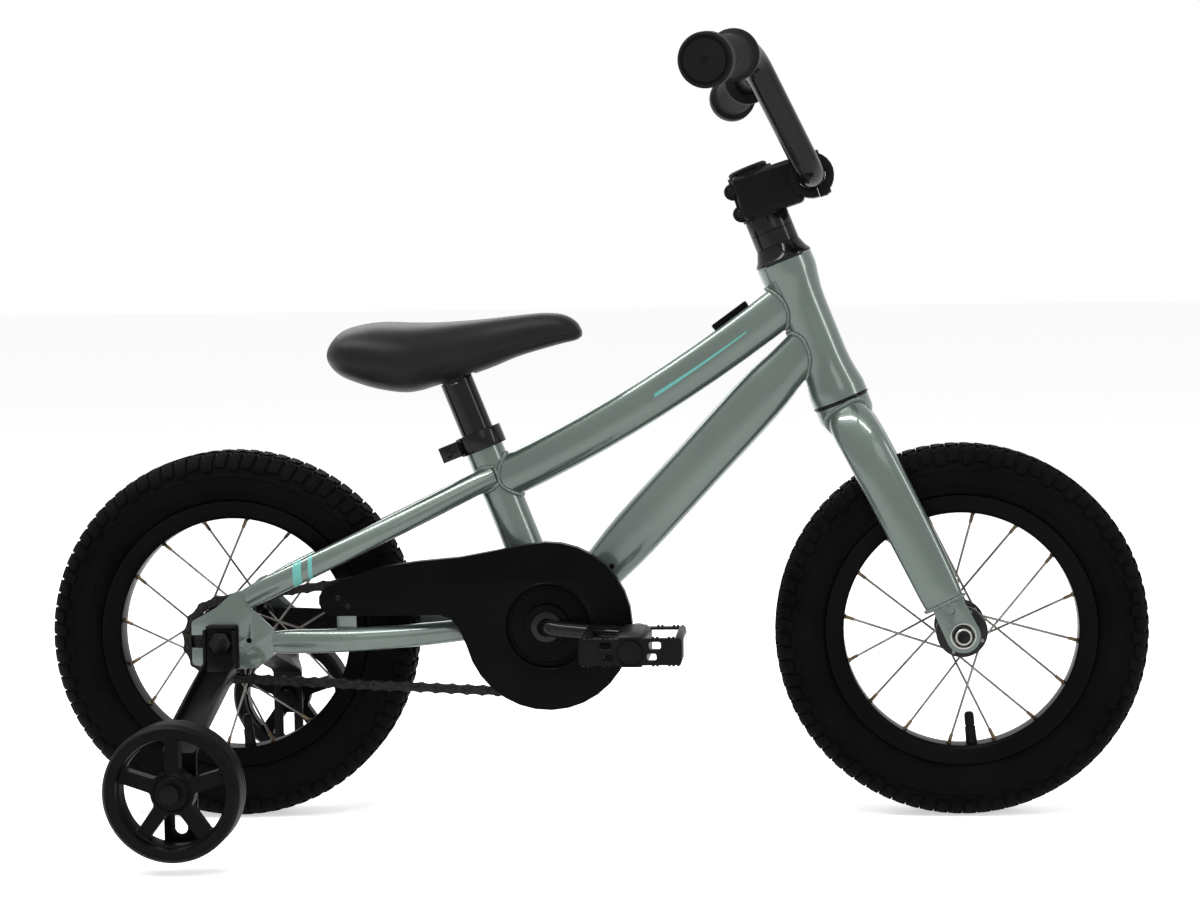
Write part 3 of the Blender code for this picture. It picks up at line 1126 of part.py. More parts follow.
# Seatpost, its barrel clamp and the saddle
post_top = (SADDLE_PIVOT - BRACKET).length
seatpost = rod("seatpost", POST_RADIUS, POST_LOW, post_top - 0.011, 20, BLACK_METAL, BRACKET, SEAT_TURN)
barrel_form = rod("barrel_form", bore_radius(BARREL_RADIUS, 24), -BARREL_HALF - GAP, BARREL_HALF + GAP, 24,
                  None, SADDLE_PIVOT, WHEEL_TURN)
cut(seatpost, barrel_form)
saddle_clamp = rod("saddle_clamp", BARREL_RADIUS, -BARREL_HALF, BARREL_HALF, 24, DARK_STEEL, SADDLE_PIVOT,
                   WHEEL_TURN)

# Offset ahead of the pivot, top and bottom above it, and half width
SADDLE_STATIONS = ((-0.0978, 0.0150, 0.0080, 0.0300), (-0.0953, 0.0230, 0.0015, 0.0400),
                   (-0.0868, 0.0315, -0.0060, 0.0520), (-0.0728, 0.0360, -0.0118, 0.0600),
                   (-0.0548, 0.0380, -0.0170, 0.0630), (-0.0328, 0.0372, -0.0198, 0.0600),
                   (-0.0128, 0.0370, -0.0158, 0.0510), (0.0092, 0.0380, -0.0090, 0.0395),
                   (0.0322, 0.0397, -0.0015, 0.0295), (0.0552, 0.0420, 0.0077, 0.0235),
                   (0.0762, 0.0438, 0.0140, 0.0205), (0.0932, 0.0425, 0.0185, 0.0180),
                   (0.1042, 0.0365, 0.0210, 0.0140), (0.1087, 0.0295, 0.0240, 0.0085))
SADDLE_SIDES = 18


def saddle_ring(ahead, top, bottom, half_width):
    """Crowned top, sides drawn in towards a flat underside."""
    ring = []
    for side in range(SADDLE_SIDES):
        angle = 2 * math.pi * (side + 0.5) / SADDLE_SIDES
        across = math.cos(angle)
        lift = math.sin(angle)
        middle = bottom + (top - bottom) * 0.46
        if lift > 0:
            wide = math.copysign(abs(across) ** 0.80, across) * half_width
            z = middle + (top - middle) * lift ** 0.85
        else:
            wide = math.copysign(abs(across) ** 0.45, across) * half_width * (1 - 0.16 * abs(lift) ** 1.5)
            z = middle - (middle - bottom) * abs(lift) ** 0.80
        ring.append(SADDLE_PIVOT + Vector((ahead, wide, z)))
    return ring


saddle = loft("saddle", [saddle_ring(*station) for station in SADDLE_STATIONS], SADDLE_BLACK)
pocket = box("saddle_pocket", (SADDLE_PIVOT.x - 0.0195, -BARREL_HALF - GAP, SADDLE_PIVOT_Z - 0.042),
             (SADDLE_PIVOT.x + 0.0215, BARREL_HALF + GAP, SADDLE_PIVOT_Z), None)
cut(saddle, barrel_form, pocket)

# Stabilisers
stabiliser_pieces = {}
for side, sign in SIDES:
    left, right = REAR_X - 0.0126, REAR_X + 0.0134
    foot, head = AXLE_Z - 0.0225, AXLE_Z + 0.0137
    bracket_outline = rounded([(left, foot), (right, foot), (right, head), (left, head)], 0.0015, 1)
    low = sign * bracket_in
    high = sign * (bracket_in + BRACKET_THICK)
    bracket = plate(side + "_stabiliser_bracket", bracket_outline, low, high, BLACK_METAL)
    lip_far = sign * (bracket_in + 0.0100)
    lip = box(side + "_lip", (left + 0.001, min(low, lip_far), head - 0.0022),
              (right - 0.001, max(low, lip_far), head), None)
    fuse(bracket, lip)
    hole = rod(side + "_bracket_hole", axle_bore, 0.05, 0.08, HUB_STEPS, None, (REAR_X, 0, AXLE_Z),
               (math.pi / 2 * -sign, 0, 0))
    cut(bracket, hole)

    # Strip with turned edges, bent outward below the bracket and down again behind the wheel
    path = [(arm_in, AXLE_Z + 0.0105, 0.0050), (arm_in, AXLE_Z - 0.0180, 0.0060),
            (arm_in + 0.0050, AXLE_Z - 0.0263, 0.0080)]
    path += [(ARM_FOOT_Y - inset, STABILISER_Z + rise, depth) for inset, rise, depth in ARM_SHAPE]
    rings = []
    for index, (y, z, depth) in enumerate(path):
        before = Vector(path[max(index - 1, 0)][:2])
        after = Vector(path[min(index + 1, len(path) - 1)][:2])
        along = (after - before).normalized()
        face = Vector((-along.y, along.x))
        edge = ARM_HALF_WIDTH - ARM_FLANGE
        lip = ARM_THICK + depth
        ring = []
        for x, out in ((-ARM_HALF_WIDTH, 0), (ARM_HALF_WIDTH, 0), (ARM_HALF_WIDTH, lip), (edge, lip),
                       (edge, ARM_THICK), (-edge, ARM_THICK), (-edge, lip), (-ARM_HALF_WIDTH, lip)):
            spot = Vector((y, z)) + face * out
            ring.append(Vector((STABILISER_X + x, sign * spot.x, spot.y)))
        rings.append(ring)
    arm = loft(side + "_stabiliser_arm", rings, BLACK_METAL)
    slot_half = polygon_radius(BOLT_RADIUS + GAP, 12)
    slot_points = circle((STABILISER_X, SLOT_LOW_Z + slot_half), slot_half, 195, 345,
                         5) + circle((STABILISER_X, SLOT_HIGH_Z - slot_half), slot_half, 15, 165, 5)
    cut(arm,
        plate(side + "_arm_slot", slot_points, min(sign * 0.19, sign * 0.22), max(sign * 0.19, sign * 0.22),
              None),
        rod(side + "_arm_hole", axle_bore, 0.05, 0.08, HUB_STEPS, None, (REAR_X, 0, AXLE_Z),
            (math.pi / 2 * -sign, 0, 0)))

    hub_at = (STABILISER_X, 0, STABILISER_Z)
    turn = (math.pi / 2 * -sign, 0, 0)
    middle = STABILISER_OUT - STABILISER_WIDTH / 2
    half = STABILISER_WIDTH / 2
    wheel_in = STABILISER_OUT - STABILISER_WIDTH
    bolt = lathe(side + "_stabiliser_axle",
                 [(0, ARM_FOOT_Y - GAP - 0.0055), (BOLT_NUT_RADIUS, ARM_FOOT_Y - GAP - 0.0055),
                  (BOLT_NUT_RADIUS, ARM_FOOT_Y - GAP), (BOLT_RADIUS, ARM_FOOT_Y - GAP),
                  (BOLT_RADIUS, ARM_FOOT_Y + ARM_THICK + FLAT_EDGE + GAP),
                  (BOLT_NUT_RADIUS, ARM_FOOT_Y + ARM_THICK + FLAT_EDGE + GAP),
                  (BOLT_NUT_RADIUS, wheel_in - GAP), (BOLT_RADIUS, wheel_in - GAP),
                  (BOLT_RADIUS, STABILISER_OUT - 0.0030 + GAP),
                  (BOLT_NUT_RADIUS, STABILISER_OUT - 0.0030 + GAP),
                  (BOLT_NUT_RADIUS, STABILISER_OUT + 0.0024), (0, STABILISER_OUT + 0.0024)], 10, STEEL,
                 hub_at, turn)
    bolt_bore = bore_radius(BOLT_RADIUS, STABILISER_STEPS)
    ring_wheel = lathe(side + "_stabiliser_wheel",
                       [(STABILISER_RADIUS, middle - half + 0.0030),
                        (STABILISER_RADIUS, middle + half - 0.0030),
                        (STABILISER_RADIUS - 0.0025, middle + half), (STABILISER_RING_INNER, middle + half),
                        (STABILISER_RING_INNER, middle + 0.0065), (STABILISER_BOSS_RADIUS, middle + 0.0065),
                        (STABILISER_BOSS_RADIUS, middle + half - 0.0030), (bolt_bore, middle + half - 0.0030),
                         (bolt_bore, middle - half), (STABILISER_BOSS_RADIUS, middle - half),
                        (STABILISER_BOSS_RADIUS, middle - 0.0045), (STABILISER_RING_INNER, middle - 0.0045),
                        (STABILISER_RING_INNER, middle - half), (STABILISER_RADIUS - 0.0025, middle - half)],
                       STABILISER_STEPS, BLACK_PLASTIC, hub_at, turn)
    for window in range(STABILISER_SPOKES):
        turned = 360 * (window + 0.75) / STABILISER_SPOKES
        outline = circle((STABILISER_X, STABILISER_Z), STABILISER_RING_INNER - 0.0014, turned - 27,
                         turned + 27, 3)
        outline += circle((STABILISER_X, STABILISER_Z), 0.0175, turned + 16, turned - 16, 1)
        cut(ring_wheel,
            plate(side + "_wheel_window_%d" % window, outline, min(sign * 0.20, sign * 0.26),
                  max(sign * 0.20, sign * 0.26), None))
    stabiliser_pieces[side] = (bracket, arm, bolt, ring_wheel)

# Bodies
fork_pieces = [steerer, lower_headset, upper_headset, stem, faceplate, top_cap, front_axle] + legs
group("steering", HEAD_TOP, fork_pieces)
group("bar_turn", bar_point, [handlebar, grips["right"], grips["left"]])
group("front_wheel", (FRONT_X, 0, AXLE_Z), wheels["front"])
group("rear_wheel", (REAR_X, 0, AXLE_Z), wheels["rear"])
group("rear_cog", (REAR_X, 0, AXLE_Z), [sprocket])
group("crankset", BRACKET, [spindle, chainring] + cranks)
for side, sign in SIDES:
    tip = crank_ends[side]
    group(side + "_pedal_turn", (tip[0], sign * (PEDAL_IN + PEDAL_WIDTH / 2), tip[1]), [pedals[side]])
    bolt, ring_wheel = stabiliser_pieces[side][2:]
    group(side + "_stabiliser_height", (STABILISER_X, sign * ARM_FOOT_Y, STABILISER_Z), [bolt])
    group(side + "_stabiliser_turn",
          (STABILISER_X, sign * (STABILISER_OUT - STABILISER_WIDTH / 2), STABILISER_Z), [ring_wheel])
group("seat_height", BRACKET + SEAT_AXIS * SEAT_TUBE_LENGTH, [seatpost, saddle_clamp])
group("saddle_tilt", SADDLE_PIVOT, [saddle])
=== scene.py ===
import json
import math
import bpy
import bmesh
from mathutils import Matrix, Vector
from mathutils.bvhtree import BVHTree


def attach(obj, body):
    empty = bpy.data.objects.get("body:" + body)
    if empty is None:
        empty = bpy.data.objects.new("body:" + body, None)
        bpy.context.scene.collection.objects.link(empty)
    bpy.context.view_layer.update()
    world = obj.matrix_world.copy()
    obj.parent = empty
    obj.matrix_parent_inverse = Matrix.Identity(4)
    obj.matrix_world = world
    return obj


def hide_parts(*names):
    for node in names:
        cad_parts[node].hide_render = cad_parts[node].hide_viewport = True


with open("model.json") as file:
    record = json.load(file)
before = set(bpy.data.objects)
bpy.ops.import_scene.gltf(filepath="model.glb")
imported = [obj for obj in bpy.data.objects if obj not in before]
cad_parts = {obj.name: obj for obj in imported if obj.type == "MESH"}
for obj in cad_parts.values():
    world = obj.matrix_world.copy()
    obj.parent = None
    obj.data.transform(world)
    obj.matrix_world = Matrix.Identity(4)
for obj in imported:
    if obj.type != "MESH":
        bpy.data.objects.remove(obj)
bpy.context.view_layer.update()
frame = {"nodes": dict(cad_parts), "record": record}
nodes = frame["nodes"]
sides = (("right", -1), ("left", 1))
print("frame loaded,", len(nodes), "nodes")


# selecting, placing and finishing
def clearSelection():
    active = bpy.context.view_layer.objects.active
    if active and active.mode != "OBJECT":
        bpy.ops.object.mode_set(mode="OBJECT")
    bpy.ops.object.select_all(action="DESELECT")


def pick(piece):
    clearSelection()
    piece.select_set(True)
    bpy.context.view_layer.objects.active = piece


def settle(piece):
    pick(piece)
    for modifier in list(piece.modifiers):
        bpy.ops.object.modifier_apply(modifier=modifier.name)
    bpy.ops.object.transform_apply(location=True, rotation=True, scale=True)
    return piece


def editAll():
    bpy.ops.object.mode_set(mode="EDIT")
    bpy.ops.mesh.select_all(action="SELECT")


def smooth(piece, degrees=35):
    pick(piece)
    bpy.ops.object.shade_smooth_by_angle(angle=math.radians(degrees))
    return piece


def faceOut(piece):
    pick(piece)
    editAll()
    bpy.ops.mesh.remove_doubles(threshold=1e-6)
    bpy.ops.mesh.normals_make_consistent(inside=False)
    bpy.ops.object.mode_set(mode="OBJECT")
    return piece


def named(piece, name):
    piece.name = piece.data.name = name
    return piece


def join(name, pieces):
    pick(pieces[0])
    for piece in pieces:
        piece.select_set(True)
    bpy.ops.object.join()
    return named(pieces[0], name)


def bevelled(piece, width, segments=2, degrees=40):
    # the width is in millimetres
    bevel = piece.modifiers.new("edges", "BEVEL")
    bevel.width, bevel.segments, bevel.use_clamp_overlap = width / 1000, segments, True
    bevel.limit_method, bevel.angle_limit = "ANGLE", math.radians(degrees)
    return settle(piece)


def carve(piece, tool, operation="DIFFERENCE"):
    change = piece.modifiers.new("carve", "BOOLEAN")
    change.operation, change.solver, change.object = operation, "EXACT", tool
    settle(piece)
    bpy.data.objects.remove(tool)
    return piece


def cutAway(piece, *tools):
    for tool in tools:
        carve(piece, tool)
    return piece


def twinOf(piece):
    twin = piece.copy()
    twin.data = piece.data.copy()
    bpy.context.collection.objects.link(twin)
    return twin


def copies(piece, matrices):
    made = [twinOf(piece) for matrix in matrices]
    for twin, matrix in zip(made, matrices):
        twin.matrix_world = matrix @ piece.matrix_world
    return made


# drawing profiles and sweeping sections; the tables are in millimetres
def mm(size):
    if isinstance(size, dict):
        return {key: mm(part) for key, part in size.items()}
    return tuple(mm(part) for part in size) if isinstance(size, (tuple, list)) else size / 1000


def closed(profile):
    return list(profile) + [profile[0]]


def mirrored(half):
    return list(half) + [(radius, -y) for radius, y in reversed(half)]


def drawnLine(name, points):
    clearSelection()
    bpy.ops.mesh.primitive_plane_add(size=0.002)
    piece = named(bpy.context.object, name)
    editAll()
    bpy.ops.mesh.merge(type="CENTER")
    bpy.ops.transform.translate(value=points[0])
    for before, after in zip(points, points[1:]):
        step = Vector(after) - Vector(before)
        bpy.ops.mesh.extrude_region_move(TRANSFORM_OT_translate={"value": step})
    return piece


def turned(name, profile, steps, matrix=Matrix.Identity(4), degrees=35):
    # a profile that starts off the axis is closed
    profile = closed(profile) if profile[0][0] else profile
    piece = drawnLine(name, [(radius, 0, height) for radius, height in profile])
    editAll()
    bpy.ops.mesh.spin(steps=steps, angle=2 * math.pi, center=(0, 0, 0), axis=(0, 0, 1))
    faceOut(piece)
    piece.matrix_world = matrix
    return smooth(settle(piece), degrees)


def rod(radius, low, high):
    return ((0, low), (radius, low), (radius, high), (0, high))


def pin(radius, half, edge):
    # a rod with broken edges
    low, high = half - edge, half
    return ((0, -high), (radius - edge, -high), (radius, -low), (radius, low), (radius - edge, high), (0, high))


def polar(radius, angle, height=0):
    return Vector((radius * math.cos(angle), radius * math.sin(angle), height))


def signedPower(value, power):
    return math.copysign(abs(value) ** power, value)


def boxed(left, right, low, high):
    return [(left, low), (right, low), (right, high), (left, high)]


def slab(name, outline, low, high):
    piece = drawnLine(name, [(x, low, z) for x, z in closed(outline)])
    editAll()
    bpy.ops.mesh.remove_doubles(threshold=1e-7)
    bpy.ops.mesh.edge_face_add()
    bpy.ops.mesh.extrude_region_move(TRANSFORM_OT_translate={"value": (0, high - low, 0)})
    return faceOut(piece)


def block(name, lows, highs, matrix=Matrix.Identity(4)):
    clearSelection()
    bpy.ops.mesh.primitive_cube_add(size=1, location=[(a + b) / 2 for a, b in zip(lows, highs)])
    piece = named(bpy.context.object, name)
    piece.scale = [abs(b - a) for a, b in zip(lows, highs)]
    settle(piece).matrix_world = matrix
    return settle(piece)


def eased(stations, between=4):
    rows = []
    for index in range(len(stations) - 1):
        a, b, c, d = (stations[min(max(index + k, 0), len(stations) - 1)] for k in (-1, 0, 1, 2))
        for step in range(between):
            t = step / between
            rows.append([0.5 * (2 * q + (r - p) * t + (2 * p - 5 * q + 4 * r - s) * t * t
                                + (3 * q - p - 3 * r + s) * t ** 3) for p, q, r, s in zip(a, b, c, d)])
    rows.append(list(stations[-1]))
    return rows


def ovalAt(place, along, across, halfWide, halfDeep, count, square):
    up = along.cross(across)
    spots = [polar(1, 2 * math.pi * step / count) for step in range(count)]
    return [place + across * (signedPower(spot.x, 2 / square) * halfWide)
            + up * (signedPower(spot.y, 2 / square) * halfDeep) for spot in spots]


def headings(path):
    return [(after - before).normalized() for before, after in zip(path[:1] + path[:-1], path[1:] + path[-1:])]


def lofted(name, rings, degrees=50):
    # a filled circle is extruded from ring to ring
    clearSelection()
    bpy.ops.mesh.primitive_circle_add(vertices=len(rings[0]), radius=0.01, fill_type="NGON")
    piece = named(bpy.context.object, name)
    bpy.ops.object.mode_set(mode="EDIT")
    order = range(len(rings[0]))
    for index, ring in enumerate(rings):
        if index:
            bpy.ops.mesh.extrude_region_move()
        form = bmesh.from_edit_mesh(piece.data)
        form.verts.ensure_lookup_table()
        form.verts.index_update()
        if index:
            order = [next(e.other_vert(vert).index for e in vert.link_edges if e.other_vert(vert).select)
                     for vert in (form.verts[old] for old in order)]
        for vert, spot in zip(order, ring):
            form.verts[vert].co = spot
        bmesh.update_edit_mesh(piece.data)
    return smooth(faceOut(piece), degrees)


def sections(stations, count=40, square=2.0, carried=False, grow=0.0):
    # stations are x, y, z, depth and width
    path = [Vector(row[:3]) for row in stations]
    across = headings(path)[0].orthogonal().normalized()
    rings = []
    for place, row, along in zip(path, stations, headings(path)):
        if not carried:
            across = Vector((0, 1, 0))
        across = (across - along * across.dot(along)).normalized()
        rings.append(ovalAt(place, along, across, row[4] / 2 + grow, row[3] / 2 + grow, count, square))
    return rings


def swept(name, stations, count=40, square=2.0, carried=False, grow=0.0):
    return lofted(name, sections(stations, count, square, carried, grow))


def pipe(name, path, radius, count=24):
    return swept(name, [(*point, 2 * radius, 2 * radius) for point in path], count, 2.0, True)


def bent(corners, radius, steps):
    corners = [Vector(corner) for corner in corners]
    path = corners[:1]
    for before, corner, after in zip(corners, corners[1:], corners[2:]):
        back, ahead = (before - corner).normalized(), (after - corner).normalized()
        half = back.angle(ahead) / 2
        middle = corner + (back + ahead).normalized() * (radius / math.sin(half))
        start = corner + back * (radius / math.tan(half)) - middle
        axle = back.cross(ahead).normalized()
        turns = [(2 * half - math.pi) * step / steps for step in range(steps + 1)]
        path += [middle + Matrix.Rotation(turn, 3, axle) @ start for turn in turns]
    return path + corners[-1:]


def arc(centre, radius, start, end, steps):
    spots = [polar(radius, math.radians(start + (end - start) * step / steps)) for step in range(steps + 1)]
    return [(centre[0] + spot.x, centre[1] + spot.y) for spot in spots]


def softCorners(outline, radius, steps=4):
    spots, shares = [], [step / steps for step in range(steps + 1)]
    for before, corner, after in zip(outline[-1:] + outline, outline, outline[1:] + outline[:1]):
        corner = Vector(corner)
        back, ahead = Vector(before) - corner, Vector(after) - corner
        reach = min(radius, back.length * 0.45, ahead.length * 0.45)
        first, last = corner + back.normalized() * reach, corner + ahead.normalized() * reach
        spots += [tuple(first * (1 - t) ** 2 + corner * 2 * t * (1 - t) + last * t * t) for t in shares]
    return spots


def surfaceOf(piece):
    mesh = piece.data
    return BVHTree.FromPolygons([v.co for v in mesh.vertices], [tuple(face.vertices) for face in mesh.polygons])


def alongY(x, z, sign=-1):
    # lays a turned piece on its side: its height runs outwards on that side of the bike
    return Matrix.Translation((x, 0, z)) @ Matrix.Rotation(-sign * math.pi / 2, 4, "X")


def aimed(place, direction):
    return Matrix.Translation(place) @ Vector(direction).to_track_quat("Z", "Y").to_matrix().to_4x4()


# materials
def dial(node, values):
    for socket, value in values.items():
        node.inputs[socket].default_value = value


def grained(name, dark, light, roughness, patchScale, grainLook, shine):
    made = bpy.data.materials.new(name)
    made.use_nodes = True
    tree, links = made.node_tree.nodes, made.node_tree.links
    shader = tree["Principled BSDF"]
    dial(shader, dict(zip(("Metallic", "Specular IOR Level", "Coat Weight", "Coat Roughness"), shine)))
    coords = tree.new("ShaderNodeTexCoord")
    patches = tree.new("ShaderNodeTexNoise")
    dial(patches, {"Scale": patchScale, "Detail": 5})
    tones = tree.new("ShaderNodeValToRGB")
    for element, position, tone in zip(tones.color_ramp.elements, (0.35, 0.65), (dark, light)):
        element.position, element.color = position, (*mm(tone), 1)
    sheen = tree.new("ShaderNodeMapRange")
    dial(sheen, {"To Min": roughness[0], "To Max": roughness[1]})
    grain = tree.new("ShaderNodeTexVoronoi" if name in celled else "ShaderNodeTexNoise")
    dial(grain, {"Scale": grainLook[0]})
    bump = tree.new("ShaderNodeBump")
    dial(bump, {"Strength": grainLook[1], "Distance": mm(grainLook[2])})
    for giver, output, taker, socket in (
            (coords, "Object", patches, "Vector"), (patches, "Fac", tones, "Fac"),
            (tones, "Color", shader, "Base Color"), (patches, "Fac", sheen, "Value"),
            (sheen, "Result", shader, "Roughness"), (coords, "Object", grain, "Vector"),
            (grain, "Distance" if name in celled else "Fac", bump, "Height"), (bump, "Normal", shader, "Normal")):
        links.new(giver.outputs[output], taker.inputs[socket])
    return made


# slot, darker and lighter tone in thousandths, roughness, scale of the patches, the grain's scale, strength and
# depth in millimetres, and metallic, specular, coat and the coat's roughness
looks = {
    "sagePaint": ("sage_paint", (82, 104, 92), (104, 130, 116), (0.24, 0.34), 9, (2600, 0.1, 0.12),
      (0.4, 0.5, 0.85, 0.035)),
    "blackPaint": ("black_metal", (2.8, 2.8, 2.9), (4.2, 4.2, 4.2), (0.2, 0.3), 30, (1400, 0.06, 0.2),
      (0, 0.06, 0.26, 0.06)),
    "satinBlack": ("black_metal", (3, 3, 3), (4.6, 4.6, 4.5), (0.36, 0.46), 40, (1800, 0.1, 0.2),
      (0, 0.072, 0, 0.03)),
    "guardPlastic": ("black_plastic", (1.8, 1.8, 1.8), (2.7, 2.7, 2.6), (0.26, 0.36), 22, (2600, 0.08, 0.2),
      (0, 0.035, 0, 0.03)),
    "wheelPlastic": ("black_plastic", (2.2, 2.2, 2.3), (3.6, 3.6, 3.6), (0.38, 0.5), 35, (2200, 0.12, 0.2),
      (0, 0.056, 0, 0.03)),
    "tyreRubber": ("tyre_rubber", (1.8, 1.8, 1.8), (3.4, 3.4, 3.3), (0.56, 0.72), 26, (2400, 0.22, 0.3),
      (0, 0.03, 0, 0.03)),
    "gripRubber": ("grip_rubber", (3.4, 3.4, 3.4), (5.2, 5.2, 5.2), (0.5, 0.64), 60, (2600, 0.2, 0.3),
      (0, 0.1, 0, 0.03)),
    "saddleSkin": ("saddle_cover", (3.8, 3.8, 3.9), (5.6, 5.6, 5.7), (0.38, 0.5), 18, (1500, 0.3, 0.25),
      (0, 0.16, 0, 0.03)),
    "spokeSteel": ("zinc_steel", (110, 100, 93), (200, 190, 178), (0.3, 0.42), 60, (3000, 0.05, 0.1),
      (1, 0.5, 0, 0.03)),
    "nippleBrass": ("zinc_steel", (85, 62, 38), (150, 110, 66), (0.34, 0.46), 120, (3000, 0.05, 0.1),
      (1, 0.5, 0, 0.03)),
    "zincSteel": ("zinc_steel", (300, 300, 290), (440, 440, 420), (0.28, 0.42), 90, (2500, 0.1, 0.1),
      (1, 0.5, 0, 0.03)),
    "darkSteel": ("dark_steel", (8, 7.7, 7.4), (17, 16, 15), (0.3, 0.46), 120, (2500, 0.12, 0.1),
      (0.85, 0.14, 0, 0.03)),
    "chainSteel": ("dark_steel", (11, 10.5, 10), (24, 22.5, 20.5), (0.34, 0.5), 260, (2500, 0.12, 0.1),
      (0.85, 0.2, 0, 0.03)),
    "mintBand": ("sage_paint", (105, 375, 335), (122, 415, 370), (0.28, 0.36), 14, (2600, 0.05, 0.1),
      (0, 0.3, 0.3, 0.08)),
    "clearLens": ("black_plastic", (400, 410, 400), (520, 530, 520), (0.12, 0.2), 200, (900, 0.6, 0.6),
      (0, 0.5, 0.8, 0.05)),
}
celled = ("sagePaint", "saddleSkin", "clearLens")
materials = {name: grained(name, *look[1:]) for name, look in looks.items()}
dial(materials["sagePaint"].node_tree.nodes["Principled BSDF"], {"Specular Tint": (0.8, 1, 0.88, 1)})
print("materials made:", len(materials))

bodyOf = {node: body for body, members in frame["record"]["behaviour"]["bodies"].items() for node in members}


def fit(piece, body, material, *stoodFor):
    piece.data.materials.clear()
    piece.data.materials.append(materials[material])
    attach(piece, body)
    if stoodFor:
        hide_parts(*stoodFor)
    return piece


def painted(piece, *stoodFor):
    return fit(piece, "frame", "sagePaint", *stoodFor)


def dressed(node, material, edge=0.6, segments=2, degrees=35):
    # a smooth-shaded copy of a solid with eased edges
    pick(nodes[node])
    twin = twinOf(nodes[node])
    twin.parent = None
    for key in list(twin.keys()):
        del twin[key]
    named(twin, node + "_shown")
    pick(twin)
    editAll()
    bpy.ops.mesh.remove_doubles(threshold=2e-6)
    bpy.ops.mesh.dissolve_limited(angle_limit=math.radians(1.5))
    bpy.ops.object.mode_set(mode="OBJECT")
    if edge:
        bevelled(twin, edge, segments, 40)
    smooth(twin, degrees)
    return fit(twin, bodyOf[node], material, node)


def screwHead(name, body, place, outward, radius, height, material="darkSteel"):
    # a domed head with a hexagon socket, sunk half a millimetre into its seat
    radius, height = mm((radius, height))
    rows = ((0, -0.0005), (radius, -0.0005), (radius, height * 0.75), (radius * 0.86, height), (0, height))
    head = turned(name, rows, 24)
    clearSelection()
    bpy.ops.mesh.primitive_cylinder_add(vertices=6, radius=radius * 0.55, depth=height, location=(0, 0, height * 0.95))
    cutAway(head, settle(bpy.context.object))
    head.matrix_world = aimed(place, outward)
    return fit(smooth(settle(head)), body, material)


# camera, floor and light
camera = {"place": (0.1979, -2.2366, 0.4657), "turns": ((3.4834, "Z"), (85.8395, "X"), (-0.7981, "Z")),
          "lens": 81.742, "shift": (-0.0568, -0.0012)}


def placeCamera():
    clearSelection()
    bpy.ops.object.camera_add()
    eye = bpy.context.object
    stand = Matrix.Translation(camera["place"])
    for degrees, axis in camera["turns"]:
        stand = stand @ Matrix.Rotation(math.radians(degrees), 4, axis)
    eye.matrix_world = stand
    eye.data.lens, eye.data.clip_end = camera["lens"], 60
    eye.data.shift_x, eye.data.shift_y = camera["shift"]
    bpy.context.scene.camera = eye


studio = {"floor": {"Base Color": (0.95, 0.95, 0.95, 1), "Roughness": 0.9, "Specular IOR Level": 0.0},
          "glow": {"Strength": 0.56}, "sky": {"Color": (1, 1, 1, 1), "Strength": 0.42},
          "white": {"Color": (1, 1, 1, 1), "Strength": 1.0},
          "lamps": (("overhead", (-0.8, -0.5, 2.1), (-0.3, 0.05, 0.3), 3.6, 0.22, 56),
                    ("front", (0.9, -2.6, 1.5), (0.1, 0, 0.3), 1.0, 1.0, 5),
                    ("side", (2.5, -0.9, 1.3), (0.2, 0, 0.3), 0.35, 1.5, 14),
                    ("behind", (-0.7, 2.2, 1.6), (0.0, 0, 0.3), 1.6, 0.8, 14))}


def stageShader(tree, plain, white, output):
    # camera, mirror and see-through rays find the white backdrop; the object is lit by the plain shader alone
    rays = tree.nodes.new("ShaderNodeLightPath")
    shown = plain
    for ray in ("Is Glossy Ray", "Is Transmission Ray", "Is Camera Ray"):
        mix = tree.nodes.new("ShaderNodeMixShader")
        for spot, given in enumerate((rays.outputs[ray], shown.outputs[0], white.outputs[0])):
            tree.links.new(given, mix.inputs[spot])
        shown = mix
    tree.links.new(shown.outputs[0], tree.nodes[output].inputs["Surface"])


def buildStudio():
    clearSelection()
    bpy.ops.mesh.primitive_grid_add(x_subdivisions=8, y_subdivisions=8, size=40, location=(0, 0, -0.0004))
    floor = named(bpy.context.object, "studio_floor")
    made = bpy.data.materials.new("studioFloor")
    made.use_nodes = True
    tree = made.node_tree
    matt = tree.nodes["Principled BSDF"]
    dial(matt, studio["floor"])
    # the glow only shows the floor white to the camera and to mirrors, over its own lit and shadowed surface
    glow = tree.nodes.new("ShaderNodeEmission")
    dial(glow, studio["glow"])
    lifted = tree.nodes.new("ShaderNodeAddShader")
    tree.links.new(matt.outputs[0], lifted.inputs[0])
    tree.links.new(glow.outputs[0], lifted.inputs[1])
    stageShader(tree, matt, lifted, "Material Output")
    floor.data.materials.append(made)

    world = bpy.data.worlds.new("studioWorld")
    bpy.context.scene.world = world
    world.use_nodes = True
    tree = world.node_tree
    plain = tree.nodes["Background"]
    dial(plain, studio["sky"])
    white = tree.nodes.new("ShaderNodeBackground")
    dial(white, studio["white"])
    stageShader(tree, plain, white, "World Output")

    for name, place, target, wide, deep, power in studio["lamps"]:
        bpy.ops.object.light_add(type="AREA", location=place)
        lamp = bpy.context.object
        lamp.name = "lamp_" + name
        lamp.data.shape, lamp.data.energy = "RECTANGLE", power
        lamp.data.size, lamp.data.size_y = wide, deep
        lamp.rotation_euler = (Vector(target) - Vector(place)).to_track_quat("-Z", "Y").to_euler()
    bpy.context.scene.view_settings.view_transform = "Standard"


placeCamera()
buildStudio()
print("camera and studio ready")


